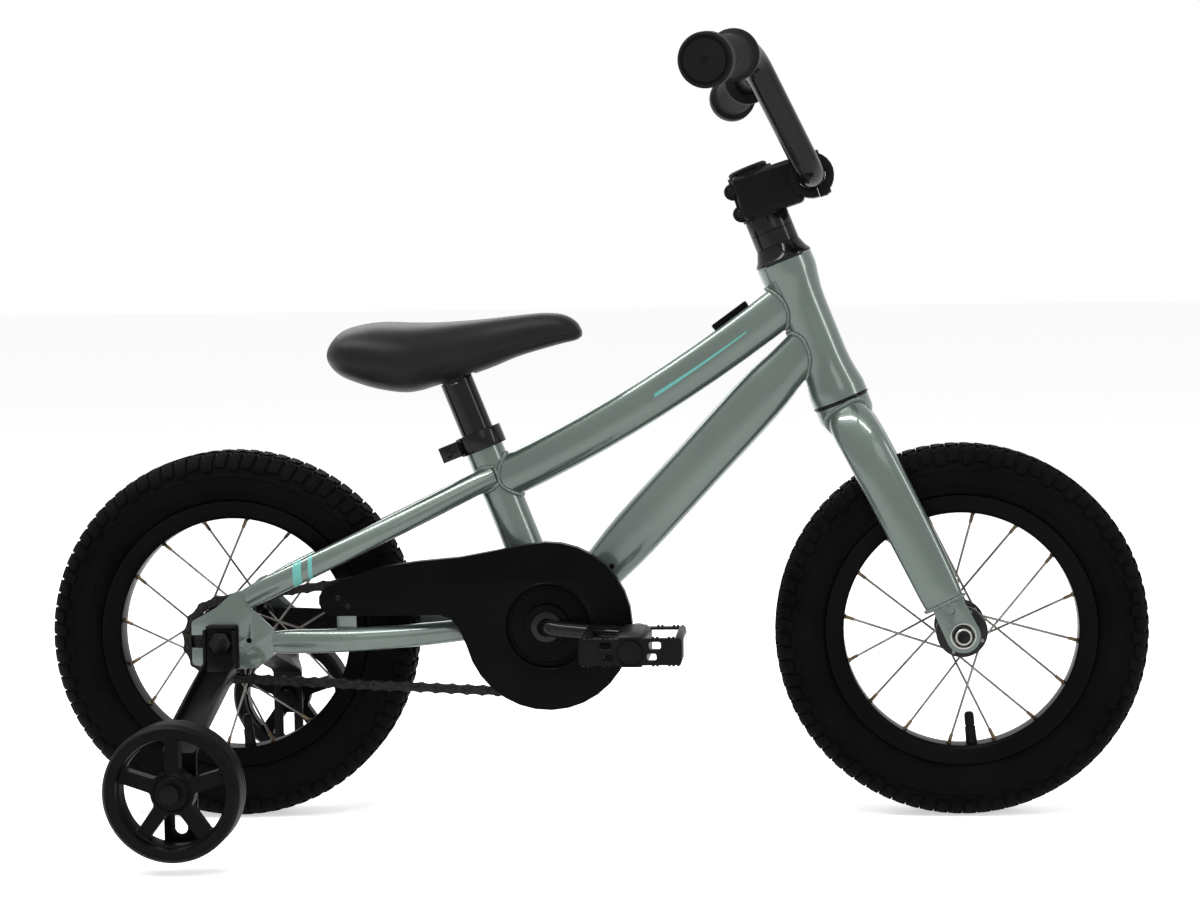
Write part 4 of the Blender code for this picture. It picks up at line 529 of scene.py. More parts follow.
# points of the frame that the pieces share
frontAxle = Vector((0.3009, 0, 0.1525))
rearAxle = Vector((-0.3009, 0, 0.1525))
bracket = Vector((-0.03553, 0, 0.163))
headBase = Vector((0.204, 0, 0.342))
headAxis = Vector((-0.3665, 0, 0.9304)).normalized()
headTop = headBase + headAxis * 0.1226
seatAxis = Vector((-0.36406, 0, 0.93137)).normalized()
saddlePivot = Vector((-0.1172, 0, 0.372))
wheelEnds = (("front", frontAxle), ("rear", rearAxle))

# tyres: ribbed carcass and a wrapped tread
tyre = {
    "outside": 0.1525, "groups": 40, "steps": 120,
    "carcass": mm(((106.2, 7.8), (111.3, 11.2), (112.2, 15), (114, 19.2), (115.8, 21.4), (116.4, 22.1),
      (117, 22.1), (117.6, 22.5), (118.2, 23.2), (118.8, 23.1), (120.5, 24.3), (121.2, 25), (121.9, 24.8),
      (124, 25.6), (128, 26.2), (131.8, 26.2), (132.6, 27), (133.6, 27), (134.4, 26.1), (137.5, 25.6),
      (140.5, 24.7), (144, 23), (147.2, 20.5), (149.4, 16.5), (150.6, 10), (150.9, 3.5))),
    "crown": mm(((150.8, 0), (150.7, 8), (149.9, 14.5), (147.8, 19.2), (144.3, 22.8), (140.3, 24.8),
      (135, 25.8))),
    # each block's start and end round the wheel, its low and high edge across, and its slant
    "blocks": mm(((-11, -1.2, 0.6, 6, 1.6), (1, 10.8, 0.6, 6, 1.6), (-8, -0.2, 7.5, 12.5, -1.4),
      (4, 11.8, 7.5, 12.5, -1.4), (-11.4, -1.8, 14.2, 33, 2.6), (0.6, 10.2, 14.2, 30, 2.6))),
    "height": 0.002, "root": 0.0012, "dome": 1.06, "top": 0.15249}


def treadSpot(arc, lift):
    # radius and half width on the crown line at a distance from the middle, raised along its normal
    crown = tyre["crown"]
    gone = 0.0
    for (r0, y0), (r1, y1) in zip(crown, crown[1:]):
        length = math.hypot(r1 - r0, y1 - y0)
        if arc <= gone + length or (r1, y1) == crown[-1]:
            share = (arc - gone) / length
            normal = Vector((y1 - y0, r0 - r1)) / length
            return r0 + (r1 - r0) * share + normal.x * lift, y0 + (y1 - y0) * share + normal.y * lift
        gone += length


def treadBlock(start, end, low, high, slant, side):
    clearSelection()
    bpy.ops.mesh.primitive_cube_add(size=1)
    block = bpy.context.object
    bpy.ops.object.mode_set(mode="EDIT")
    bpy.ops.mesh.select_mode(type="FACE")
    bpy.ops.mesh.select_all(action="DESELECT")
    form = bmesh.from_edit_mesh(block.data)
    for face in form.faces:
        face.select_set(face.normal.z > 0.9)
    bmesh.update_edit_mesh(block.data)
    bpy.ops.transform.resize(value=(0.86, 0.9, 1))
    bpy.ops.mesh.inset(thickness=0.1)
    bpy.ops.transform.translate(value=(0, 0, 0.06))
    for cut in (0, -0.28, 0.28):
        editAll()
        bpy.ops.mesh.bisect(plane_co=(0, cut, 0), plane_no=(0, 1, 0))
    bpy.ops.mesh.select_mode(type="VERT")
    bpy.ops.object.mode_set(mode="OBJECT")
    for vert in block.data.vertices:
        along, across, up = vert.co
        arcPlace = low + (high - low) * (across + 0.5)
        turn = start + (end - start) * (along + 0.5) + slant * (across * side)
        lift = min(up + 0.5, tyre["dome"]) * (tyre["height"] + tyre["root"]) - tyre["root"]
        radius, half = treadSpot(arcPlace, lift)
        vert.co = polar(min(radius, tyre["top"]), turn / tyre["outside"], side * half)
    return block


def buildTyre(end, axle):
    name = end + "_tyre"
    carcass = turned(name + "_carcass", mirrored(tyre["carcass"]), tyre["steps"], degrees=28)
    blocks = [treadBlock(*row, side) for side in (-1, 1) for row in tyre["blocks"]]
    group = faceOut(join(name + "_group", blocks))
    turns = [Matrix.Rotation(2 * math.pi * index / tyre["groups"], 4, "Z") for index in range(1, tyre["groups"])]
    tread = smooth(join(name + "_tread", [group] + copies(group, turns)), 30)
    whole = join(name + "_rubber", [carcass, tread])
    whole.matrix_world = alongY(*axle.xz)
    fit(settle(whole), end + "_wheel", "tyreRubber", name)


for end, axle in wheelEnds:
    buildTyre(end, axle)
print("tyres built")

# rims, hubs, spokes and valves
rim = {"steps": 120, "section": mm(
    ((106.2, 7.6), (109, 8.2), (110.8, 11.2), (111.6, 12.4), (111.7, 14), (111, 15), (109.8, 15),
      (108, 14.3), (104, 13.4), (100, 12.2), (97.5, 11.3), (96.2, 9.8), (95.9, 6)))}
hub = {
    "front": {
        "flange": 0.021, "flangeY": 0.0225, "shell": mm(((5.4, 28.5), (10.5, 28.5), (11.5, 27.6),
      (11.5, 25), (14, 24.3), (20.2, 24.2), (21, 23.6), (21, 21.4), (20.2, 20.8), (16.5, 20.6),
      (14, 18), (13, 14), (12.7, 0)))},
    "rear": {
        "flange": 0.0285, "flangeY": 0.0265, "shell": mm(((5.4, 37.7), (14.2, 37.7), (15.2, 36.6),
      (16.5, 28.4), (27.6, 28.2), (28.5, 27.5), (28.5, 25.5), (27.6, 24.8), (23.5, 24.5),
      (21.8, 22.5), (21.3, 18), (21.3, 0))),
        "sprocketEnd": mm(((21.3, -20), (23.5, -24.5), (27.6, -24.8), (28.5, -25.5), (28.5, -27.5),
      (27.6, -28.2), (20, -28.4), (19, -33), (18.6, -35.5), (5.4, -35.5)))}}
spoke = {
    "count": 16, "phase": 0.722, "lean": math.radians(62), "radius": 0.00095, "rimRadius": 0.0957,
    "rimHalf": 0.003, "fromFlange": 0.0032, "outside": 0.00105, "inside": 0.0026, "elbow": 0.0012,
    "button": mm(((0, 0.6), (1.3, 0.4), (1.8, -0.2), (0, -0.2))),
    "nipple": mm(((0, -1.5), (2.2, -1.2), (2.2, 0.6), (1.5, 1.1), (1.4, 7.8), (1.1, 8.4), (0, 8.6)))}
valve = {"angle": math.radians(-85), "radius": 0.0957, "profile": mm(
    ((0, -26), (2.4, -25.8), (3.6, -24.6), (4, -22.5), (4, -15), (3.6, -14.6), (3.6, -13.8), (4.3, -13.4),
      (4.4, -6), (4.7, -1), (4.7, 0.4), (0, 0.4)))}


def spokeLine(index, hubSize):
    side = 1 if index % 2 else -1
    heads = 1 if (index // 2) % 2 else -1
    rimAngle = 2 * math.pi * (index + spoke["phase"]) / spoke["count"]
    hubAngle = rimAngle + heads * spoke["lean"]
    reach = hubSize["flange"] - spoke["fromFlange"]
    height = side * hubSize["flangeY"]
    low = polar(reach, hubAngle, height + heads * spoke["outside"])
    head = polar(reach, hubAngle, height - heads * spoke["inside"])
    return head, low, polar(spoke["rimRadius"], rimAngle, side * spoke["rimHalf"])


def buildWheelCore(end, axle):
    size = hub[end]
    hoop = turned(end + "_rim_hoop", mirrored(rim["section"]), rim["steps"])
    # the front hub is alike on both sides, the rear one ends in its sprocket's seat
    farEnd = size.get("sprocketEnd") or tuple((r, -y) for r, y in reversed(size["shell"][:-1]))
    body = turned(end + "_hub_shell", size["shell"] + farEnd, 64)
    wires, caps = [], []
    for index in range(spoke["count"]):
        head, low, high = spokeLine(index, size)
        along = (high - low).normalized()
        route = [head, head.lerp(low, 0.8), low + along * spoke["elbow"], low.lerp(high, 0.5), high]
        wires.append(pipe("wire", route, spoke["radius"], 8))
        wires.append(turned("button", spoke["button"], 10, aimed(head, head - low)))
        caps.append(turned("nipple", spoke["nipple"], 10, aimed(high, low - high)))
    outwards = polar(1, valve["angle"])
    stem = turned(end + "_valve_stem", valve["profile"], 20, aimed(outwards * valve["radius"], outwards))
    laces = join(end + "_spokes", wires)
    seats = join(end + "_nipples", caps)
    for piece, material, *stood in (
            (hoop, "guardPlastic", end + "_rim"), (body, "blackPaint", end + "_hub"),
            (laces, "spokeSteel"), (seats, "nippleBrass"), (stem, "gripRubber", end + "_valve")):
        piece.matrix_world = alongY(*axle.xz)
        fit(settle(piece), end + "_wheel", material, *stood)


for end, axle in wheelEnds:
    buildWheelCore(end, axle)
print("rims, hubs and spokes built")

# frame tubes: each station is x, y, z, depth and width
def topHeight(x):
    return 0.3164 + 0.55 * x + 0.687 * x * x


topPlaces = mm((-75, -60, -44, -20, 2, 25, 48, 71, 94, 117, 140, 164))
tubes = {
    "top_tube": {"square": 2.5, "stations": [(x, 0, topHeight(x), 0.0355, 0.031) for x in topPlaces]},
    "down_tube": {"square": 2.8, "stations": eased(mm((
      (-26, 0, 168.5, 35.5, 37), (4, 0, 200.5, 37, 38), (34, 0, 233, 42.5, 39), (86, 0, 288.75, 42.5, 39),
      (138, 0, 344.5, 42.5, 39), (162, 0, 370.5, 36.5, 36), (182, 0, 391.5, 34, 34))))}}
stays = {
    "seatstay": mm((
      (-280.25, 54.8, 187.3, 16.5, 11), (-264, 56.2, 195.5, 18.5, 13.5), (-244.4, 56, 204.9, 18.5, 14.5),
      (-202, 50, 224.9, 18.5, 14.5), (-153.1, 37, 248, 18.5, 14.5), (-99, 18.5, 274.5, 18.5, 14.5),
      (-83, 12, 282, 18.5, 14.5))),
    "chainstay": mm((
      (-258, 54.8, 151.6, 17.5, 11), (-244, 55.8, 152, 19.5, 13.5), (-210, 55, 152.5, 19.5, 14.5),
      (-170, 47, 153.5, 19.5, 14.5), (-130, 36.5, 155.5, 18.5, 14.5), (-90, 26.5, 158.5, 17.5, 14.5),
      (-48, 21, 161, 16.5, 14.5)))}
rounds = {
    "headTube": mm(((16.5, 0), (22.9, 0), (23.5, 0.6), (23.5, 8.5), (23, 11.5), (21.4, 20), (20.2, 29),
      (19.7, 37), (19.7, 83), (20.2, 92), (21.6, 101), (23, 109), (23.5, 112), (23.5, 122), (22.9, 122.6),
      (16.5, 122.6))),
    "seatTube": mm(((0, 12), (15.9, 12), (15.9, 164.6), (15.5, 165), (14.1, 165), (13.9, 85), (0, 85))),
    "shell": mm(((16.3, -34), (19.4, -34), (20.2, -33.2), (20.2, 33.2), (19.4, 34), (16.3, 34)))}
# radius, low and high end of the round formers that trim a tube where it meets another
trims = mm({"head": (19, -10, 140), "seat": (15.6, 0, 165), "shell": (19.6, -35, 35), "seatEnd": (20.3, -35, 35)})


def trim(kind):
    origin, axis = {"head": (headBase, headAxis), "seat": (bracket, seatAxis)}.get(kind, (bracket, Vector((0, 1, 0))))
    return turned("former", rod(*trims[kind]), 64, aimed(origin, axis))


ripple = {"radius": 0.0026, "step": 0.0018, "shape": (1.0, 0.66, 0.66)}


def ripples(name, body, hits, towards):
    # the beads stand at equal steps round the seam
    lengths = [(b - a).length for a, b in zip(hits, closed(hits)[1:])]
    count = int(sum(lengths) / ripple["step"])
    spots, gone, index = [], 0.0, 0
    for step in range(count):
        wanted = sum(lengths) * step / count
        while gone + lengths[index] < wanted:
            gone += lengths[index]
            index += 1
        spots.append(hits[index].lerp(closed(hits)[index + 1], (wanted - gone) / lengths[index]))
    clearSelection()
    bpy.ops.mesh.primitive_uv_sphere_add(segments=12, ring_count=8, radius=ripple["radius"])
    bead = bpy.context.object
    editAll()
    bpy.ops.transform.resize(value=ripple["shape"])
    bpy.ops.object.mode_set(mode="OBJECT")
    frames = []
    for before, spot, after in zip(spots[-1:] + spots[:-1], spots, spots[1:] + spots[:1]):
        along = (after - before).normalized()
        out = (towards * -1 - along * along.dot(towards * -1)).normalized()
        side = along.cross(out)
        frames.append(Matrix.Translation(spot) @ Matrix((side, along, out)).transposed().to_4x4())
    beads = copies(bead, frames)
    bpy.data.objects.remove(bead)
    return fit(settle(smooth(join(name, beads), 60)), body, "sagePaint")


headTube = turned("head_tube_shown", rounds["headTube"], 96, aimed(headBase, headAxis))
painted(headTube, "head_tube")
seatTube = cutAway(turned("seat_tube_shown", rounds["seatTube"], 64, aimed(bracket, seatAxis)), trim("seatEnd"))
painted(smooth(seatTube), "seat_tube")
shellRound = turned("shell_round", rounds["shell"], 64, alongY(*bracket.xz))
painted(shellRound, "bottom_bracket_shell")
headSurface, seatSurface, shellSurface = surfaceOf(headTube), surfaceOf(seatTube), surfaceOf(shellRound)
for name, look in tubes.items():
    tube = swept(name + "_shown", look["stations"], 56, look["square"])
    cutAway(tube, trim("head"), trim("seat"))
    if name == "down_tube":
        cutAway(tube, trim("shell"))
    painted(smooth(tube, 50), name)


def weldEnd(name, body, stations, last, surface, square):
    # the tube's outline is cast on to the surface that it meets
    rows = stations if last else stations[::-1]
    towards = (Vector(rows[-1][:3]) - Vector(rows[-3][:3])).normalized()
    ring = sections(stations, 72, square)[-3 if last else 2]
    hits = [surface.ray_cast(spot - towards * 0.02, towards, 0.08)[0] for spot in ring]
    ripples(name, body, [hit for hit in hits if hit], towards)


for name, rearSurface in (("top_tube", seatSurface), ("down_tube", shellSurface)):
    stations, square = tubes[name]["stations"], tubes[name]["square"]
    weldEnd(name + "_front_weld", "frame", stations, True, headSurface, square)
    weldEnd(name + "_rear_weld", "frame", stations, False, rearSurface, square)


def onSide(stations, sign, between=4):
    return [(x, sign * y, z, depth, width) for x, y, z, depth, width in eased(stations, between)]


for side, sign in sides:
    for kind, ends, surface in (("seatstay", ("seat",), seatSurface), ("chainstay", ("shell", "seat"), shellSurface)):
        rows = onSide(stays[kind], sign)
        stay = cutAway(swept(side + "_" + kind + "_shown", rows), *[trim(end) for end in ends])
        painted(smooth(stay, 50), side + "_" + kind)
        weldEnd(side + "_" + kind + "_weld", "frame", rows, True, surface, 2.0)

# a pinstripe on the top tube and two bands on each seatstay
band = {"proud": 0.00015, "start": 0.052, "end": 0.128, "lift": 0.0005, "wide": 0.0017, "narrow": 0.0007, "steps": 14,
        "stayBands": ((-0.2375, 0.0038), (-0.227, 0.0018)), "lean": 0.006, "half": 0.014, "along": (0.904, 0.427)}


def skinBand(name, skin, outline, low, high):
    # keeps the part of a slightly grown tube that lies inside an outline
    carve(skin, slab("band_window", outline, *sorted((low, high))), "INTERSECT")
    return fit(smooth(named(skin, name), 50), "frame", "mintBand")


for side, sign in sides:
    rows = []
    for step in range(band["steps"] + 1):
        share = step / band["steps"]
        x = band["start"] + (band["end"] - band["start"]) * share
        rows.append((x, topHeight(x) + band["lift"], band["wide"] + (band["narrow"] - band["wide"]) * share))
    outline = [(x, z + half) for x, z, half in rows] + [(x, z - half) for x, z, half in reversed(rows)]
    skin = swept("skin", tubes["top_tube"]["stations"], 56, tubes["top_tube"]["square"], grow=band["proud"])
    skinBand(side + "_top_tube_pinstripe", skin, outline, sign * 0.011, sign * 0.02)
    for number, (x, half) in enumerate(band["stayBands"], 1):
        middle = Vector((x, 0.2049 + (x + 0.2444) * 0.472))
        along = Vector(band["along"])
        rise = along.orthogonal() * band["half"] + along * band["lean"]
        outline = [tuple(middle + along * shift + rise * lift) for shift, lift in boxed(-half, half, -1, 1)]
        grown = swept("skin", onSide(stays["seatstay"], sign), grow=band["proud"])
        skinBand("%s_seatstay_band_%d" % (side, number), grown, outline, sign * 0.0565, sign * 0.075)
drain = surfaceOf(bpy.data.objects["down_tube_shown"]).ray_cast(Vector((0.0154, -0.1, 0.2078)), Vector((0, 1, 0)))
screwHead("down_tube_plug", "frame", drain[0], drain[1], 2.2, 0.8, "satinBlack")
print("frame tubes, welds and bands built")

# fork, headset and stem
fork = {
    "leg": mm(((208.5, 12, 330, 33, 24), (215, 27, 320, 37.5, 24.5), (227, 38.5, 299, 37.8, 21.5),
      (249, 42.5, 256, 37.2, 20), (270, 44, 213, 35.8, 18.5), (284.2, 45.2, 183, 33.5, 16.5),
      (286.8, 45.5, 177.5, 29, 11))),
    "crown": mm(((0, -151.6), (16, -151.6), (17.2, -150.8), (18.2, -147), (22.2, -137.5), (22.9, -135),
      (22.9, -125.2), (22.3, -124.6), (14.3, -124.6), (14.3, 76), (0, 76))),
    "washer": mm(((9.3, 48.4), (10.6, 48.4), (10.8, 48.7), (10.6, 49.4), (9.5, 49.6), (9.3, 49.4))),
    "nut_crown": mm(((5.05, 54.6), (6.8, 54.6), (6.8, 55.1), (6.3, 55.6), (5.3, 55.6), (5.05, 55.3))),
    "dimple": mm(((0, 47.8), (3.4, 47.8), (4.4, 49), (0, 49))),
    "square": 2.4, "tabIn": 0.0435, "tabOut": 0.0485,
    "tabTop": ((0.2845, 0.186), 0.0125, 28.38897, 203.77936), "tabEnd": (0.014, -156.22064, 28.38897)}
headset = {
    "lower": mm(((14.55, -124.3), (23.2, -124.3), (23.9, -124), (23.9, -123.2), (23.4, -122.9),
      (16.2, -122.9), (16.2, -113.9), (14.55, -113.9))),
    "upper": mm(((14.55, -8), (16.2, -8), (16.2, 0.3), (23.2, 0.3), (23.6, 0.8), (23.6, 2.6), (23.1, 3.2),
      (21.2, 6), (18.8, 12), (18.4, 13.2), (18.2, 13.8), (17.8, 14), (18.2, 14.3), (18.2, 26.2),
      (17.8, 26.5), (18.2, 26.8), (18.2, 38.7), (17.9, 39.2), (14.55, 39.2)))}
fit(turned("steerer_and_crown", fork["crown"], 96, aimed(headTop, headAxis)), "fork", "sagePaint", "fork_steerer")
for name, profile in headset.items():
    cup = turned(name + "_headset_shown", profile, 96, aimed(headTop, headAxis))
    fit(cup, "fork", "blackPaint", name + "_headset")
crownSurface = surfaceOf(bpy.data.objects["steerer_and_crown"])


for side, sign in sides:
    rows = onSide(fork["leg"], sign, 5)
    blade = swept(side + "_fork_blade", rows, 48, fork["square"])
    outline = arc(*fork["tabTop"], 20) + arc(frontAxle.xz, *fork["tabEnd"], 20)
    tab = slab(side + "_fork_end", outline, *sorted((sign * fork["tabIn"], sign * fork["tabOut"])))
    bore = turned("bore", rod(*mm((5.4, 30, 60))), 48, alongY(*frontAxle.xz, sign))
    cutAway(tab, bore, turned("dimple", fork["dimple"], 32, alongY(0.2905, 0.1735, sign)))
    bevelled(tab, 0.7, 3)
    fit(smooth(join(side + "_fork_blade", [blade, smooth(tab)]), 40), "fork", "sagePaint", side + "_fork_leg")
    weldEnd(side + "_crown_weld", "fork", rows, False, crownSurface, fork["square"])
    ends = sections(rows, 48, fork["square"])
    ripples(side + "_fork_end_weld", "fork", ends[-4], (Vector(rows[-1][:3]) - Vector(rows[-4][:3])).normalized())
    for name in ("washer", "nut_crown"):
        nut = turned("%s_front_%s" % (side, name), fork[name], 48, alongY(*frontAxle.xz, sign))
        fit(nut, "fork", "zincSteel")
dressed("stem_faceplate", "satinBlack", 1.2, 3)
dressed("stem_cap", "satinBlack", 0.4)
stemShape = mm({
    "back": -16.5, "front": 36, "high": 18.3, "wide": 19.7, "earCut": -19.2, "steerer": (12.5, 20, 100),
    "lobe": 6.8, "lobeHalf": 12.5, "lobeEdge": 1.2, "webHalf": 5.2, "webLength": 16,
    "ear": ((117.6, 512.2), (124.7, 494.3)), "plate": (15.5, 15.2), "plateFace": 8.7})
barCentre = Vector((0.182, 0, 0.525))
stemBack = headTop + headAxis * 0.05875
stemLine = (barCentre - stemBack).normalized()
stemUp = stemLine.cross(Vector((0, -1, 0)))
stemFrame = Matrix.Translation(stemBack) @ Matrix((stemLine, Vector((0, 1, 0)), -stemUp)).transposed().to_4x4()


def buildStem():
    look = stemShape
    clamp = dressed("stem", "satinBlack", 1, 3)
    cutAway(clamp, block("ear_cut", (-0.05, -0.05, -0.05), (look["earCut"], 0.05, 0.05), stemFrame))
    wide, high = look["wide"], look["high"]
    body = block("body", (look["back"], -wide, -high), (look["front"], wide, high), stemFrame)
    cutAway(body, turned("former", rod(*look["steerer"]), 64, aimed(headTop, headAxis)))
    bevelled(body, 5.5, 5)
    parts = [smooth(clamp), smooth(body, 50)]
    half, reach, rise = look["lobeHalf"] - 0.001, look["webLength"], look["webHalf"]
    for x, z in look["ear"]:
        parts.append(turned("lobe", pin(look["lobe"], look["lobeHalf"], look["lobeEdge"]), 40, alongY(x, z)))
        parts.append(bevelled(block("web", (x, -half, z - rise), (x + reach, half, z + rise)), 1.5, 3))
    fit(join("stem_block", parts), "fork", "satinBlack")


buildStem()
for side, sign in sides:
    wide, high = stemShape["plate"]
    for number, (x, z) in enumerate(stemShape["ear"], 1):
        place = (x, sign * stemShape["lobeHalf"], z)
        screwHead("%s_stem_bolt_%d" % (side, number), "fork", place, (0, sign, 0), 3.6, 1.6)
    for number, up in enumerate((-high, high), 1):
        place = barCentre + stemLine * stemShape["plateFace"] + stemUp * up + Vector((0, sign * wide, 0))
        screwHead("%s_faceplate_bolt_%d" % (side, number), "fork", place, stemLine, 2.9, 2.6)
dressed("front_axle", "darkSteel", 0.4)
print("fork, headset and stem built")

# handlebar and grips
bar = mm({"corners": ((182, 47, 525), (136, 110, 618), (108.5, 259.5, 602.3)), "radius": 11.1, "bend": 34})
barLine = bent([(x, -y, z) for x, y, z in reversed(bar["corners"])] + list(bar["corners"]), bar["bend"], 12)
fit(pipe("handlebar_tube", barLine, bar["radius"], 32), "bars", "blackPaint", "handlebar")
grip = {
    "ribs": 17, "between": (-87.1, -12.5), "rib": ((15.6, -1.7), (16.5, -1), (16.5, 1), (15.6, 1.7)),
    "inner": [(0, 0.2), (11.3, 0.2), (11.3, -96.6), (19.2, -96.6), (20, -95.8), (20, -92.4), (19, -91.6),
      (18.2, -90.8), (16.7, -89.1)],
    "outer": [(16.5, -11.2), (19.7, -9.2), (20.5, -8.4), (20.5, 1.8), (19.4, 3), (18, 3.2), (17.4, 1.8),
      (16.2, 1.8), (15.6, 3.2), (3, 3.2), (2.4, 2.2), (0, 2.2)]}


def gripProfile():
    first, last = grip["between"]
    rows = list(grip["inner"])
    for rib in range(grip["ribs"]):
        middle = first + (last - first) * (rib + 0.5) / grip["ribs"]
        rows += [(radius, middle + along) for radius, along in grip["rib"]]
    return mm(rows + grip["outer"])


for side, sign in sides:
    knee, tip = (Vector((x, sign * y, z)) for x, y, z in bar["corners"][1:])
    sleeve = turned(side + "_grip_sleeve", gripProfile(), 48, aimed(tip, tip - knee), 30)
    fit(sleeve, "bars", "gripRubber", side + "_grip")
print("handlebar and grips built")

# seatpost, collar and saddle
postTop = (saddlePivot - bracket).length - 0.011
postRows = ((0, 0.085), (0.0128, 0.085), (0.0135, 0.0857), (0.0135, postTop - 0.0007), (0.0129, postTop), (0, postTop))
post = turned("seatpost_tube", postRows, 64, aimed(bracket, seatAxis))


def barrelSeat(half):
    return turned("barrel_seat", rod(0.01435, -half, half), 48, alongY(*saddlePivot.xz))


cutAway(post, barrelSeat(0.0204))
fit(smooth(post), "post", "blackPaint", "seatpost")
dressed("saddle_clamp", "darkSteel", 0.5)
dressed("seat_clamp", "blackPaint", 0.7)
for side, sign in sides:
    for number, (x, z) in enumerate(((-0.1205, 0.3055), (-0.118, 0.299)), 1):
        place = (x, sign * 0.0095, z)
        screwHead("%s_collar_screw_%d" % (side, number), "frame", place, (0, sign, 0), 1.9, 1.2)
# each station is x, top, bottom and half width
saddle = {
    "sides": 64, "seam": 0.0007, "seamAt": -24, "seamSpread": 5, "waist": 0.46,
    "stations": mm(((-215, 387, 380, 30), (-212.5, 395, 373.5, 40), (-204, 403.5, 366, 52),
      (-190, 408, 360.2, 60), (-172, 410, 355, 63), (-150, 409.2, 352.2, 60), (-130, 409, 356.2, 51),
      (-108, 410, 363, 39.5), (-85, 411.7, 370.5, 29.5), (-62, 414, 379.7, 23.5), (-41, 415.8, 386, 20.5),
      (-24, 414.5, 390.5, 18), (-13, 408.5, 393, 14), (-8.5, 401.5, 396, 8.5)))}


def saddleRing(x, top, bottom, halfWide):
    ring = []
    for side in range(saddle["sides"]):
        angle = 2 * math.pi * (side + 0.5) / saddle["sides"]
        across, lift = math.cos(angle), math.sin(angle)
        middle = bottom + (top - bottom) * saddle["waist"]
        if lift > 0:
            wide = signedPower(across, 0.8) * halfWide
            z = middle + (top - middle) * lift ** 0.85
        else:
            wide = signedPower(across, 0.45) * halfWide * (1 - 0.16 * abs(lift) ** 1.5)
            z = middle - (middle - bottom) * abs(lift) ** 0.8
        # a stitched edge runs round the lower third
        turn = math.degrees(math.atan2(lift, abs(across)))
        drawn = 1 - saddle["seam"] / halfWide * math.exp(-((turn - saddle["seamAt"]) / saddle["seamSpread"]) ** 2)
        ring.append(Vector((x, wide * drawn, z)))
    return ring


cushion = lofted("saddle_cushion", [saddleRing(*row) for row in eased(saddle["stations"], 4)], 60)
clearSelection()
bpy.ops.mesh.primitive_cube_add(size=1, location=(saddlePivot.x + 0.001, 0, 0.3545))
pocket = bpy.context.object
pocket.scale = (0.041, 0.0406, 0.035)
cutAway(cushion, settle(pocket), barrelSeat(0.0206))
smooth(cushion, 50)
fit(cushion, "seat", "saddleSkin", "saddle")
print("seatpost and saddle built")

# drive train
drive = {"pitch": 0.0127, "spanLinks": 21, "line": -0.042, "angle": 0.03955}
chainLink = mm({"halfHeight": 4.2, "waist": 3, "roller": (3.9, 1.6), "rivet": (1.8, 4.1), "edge": 0.3,
                "inner": (1.65, 2.65), "outer": (2.7, 3.55)})


def pinsRound(centre, teeth, count, middle):
    radius = drive["pitch"] / (2 * math.sin(math.pi / teeth))
    angles = [middle + (tooth - (count - 1) / 2) * 2 * math.pi / teeth for tooth in range(count)]
    return [centre + Vector((math.cos(angle), 0, math.sin(angle))) * radius for angle in angles]


def chainPins():
    ring = pinsRound(bracket, 28, 16, drive["angle"])
    cog = pinsRound(rearAxle, 16, 8, drive["angle"] + math.pi)
    shares = [step / drive["spanLinks"] for step in range(1, drive["spanLinks"])]
    upper = [ring[-1].lerp(cog[0], share) for share in shares]
    lower = [cog[-1].lerp(ring[0], share) for share in shares]
    return ring + upper + cog + lower


def linkMaster(kind, joint, steps):
    half = drive["pitch"] / 2
    outline = arc((half, 0), chainLink["halfHeight"], -125, 125, 10) + [(0, chainLink["waist"])]
    outline += arc((-half, 0), chainLink["halfHeight"], 55, 305, 10) + [(0, -chainLink["waist"])]
    parts = []
    for sign in (-1, 1):
        plate = slab("plate", outline, *sorted(sign * level for level in chainLink[kind]))
        parts.append(bevelled(plate, 0.18, 1))
    rows = pin(*chainLink[joint], chainLink["edge"])
    parts += [turned(joint, rows, steps, alongY(end, 0)) for end in (-half, half)]
    return join(kind + "_link", parts)


masters = (linkMaster("inner", "roller", 14), linkMaster("outer", "rivet", 12))
spots = chainPins()
links = []
for index, (spot, ahead) in enumerate(zip(spots, closed(spots)[1:])):
    along = (ahead - spot).normalized()
    turn = Matrix((along, Vector((0, 1, 0)), along.cross(Vector((0, 1, 0))))).transposed().to_4x4()
    middle = (spot + ahead) / 2
    links += copies(masters[index % 2], [Matrix.Translation((middle.x, drive["line"], middle.z)) @ turn])
for master in masters:
    bpy.data.objects.remove(master)
fit(smooth(settle(join("chain_links", links)), 30), "frame", "chainSteel", "chain")
dressed("chainring", "guardPlastic", 0.3, 1, 30)
dressed("rear_sprocket", "darkSteel", 0.3, 1, 30)
crankArm = mm({
    "right": (39.12, 155.81), "left": (-110.18, 170.19), "line": 64.3, "radius": 6.7, "bend": 10.5,
    "eye": ((5.5, 58.2), (9.6, 58.2), (10.4, 59), (10.4, 69.2), (9.6, 70), (5.5, 70)),
    "axle": ((0, 59), (5.5, 59), (5.5, 68), (8, 68.5), (8.5, 69), (8.5, 74.8), (8, 75.4), (5.5, 75.4),
      (5.5, 136.6), (5.1, 137), (0, 137)),
    "lockRing": ((7.6, 56.2), (13, 56.2), (13, 58.2), (12.2, 59.4), (9, 60), (7.6, 60)),
    "disc": ((18.3, 48), (40, 48), (40.4, 48.4), (40, 49), (33, 49), (32.2, 49.6), (30.6, 49.6),
      (29.8, 49), (21, 49), (20, 49.4), (18.3, 49.4)),
    "spindle": (8, 57, 0.6)})
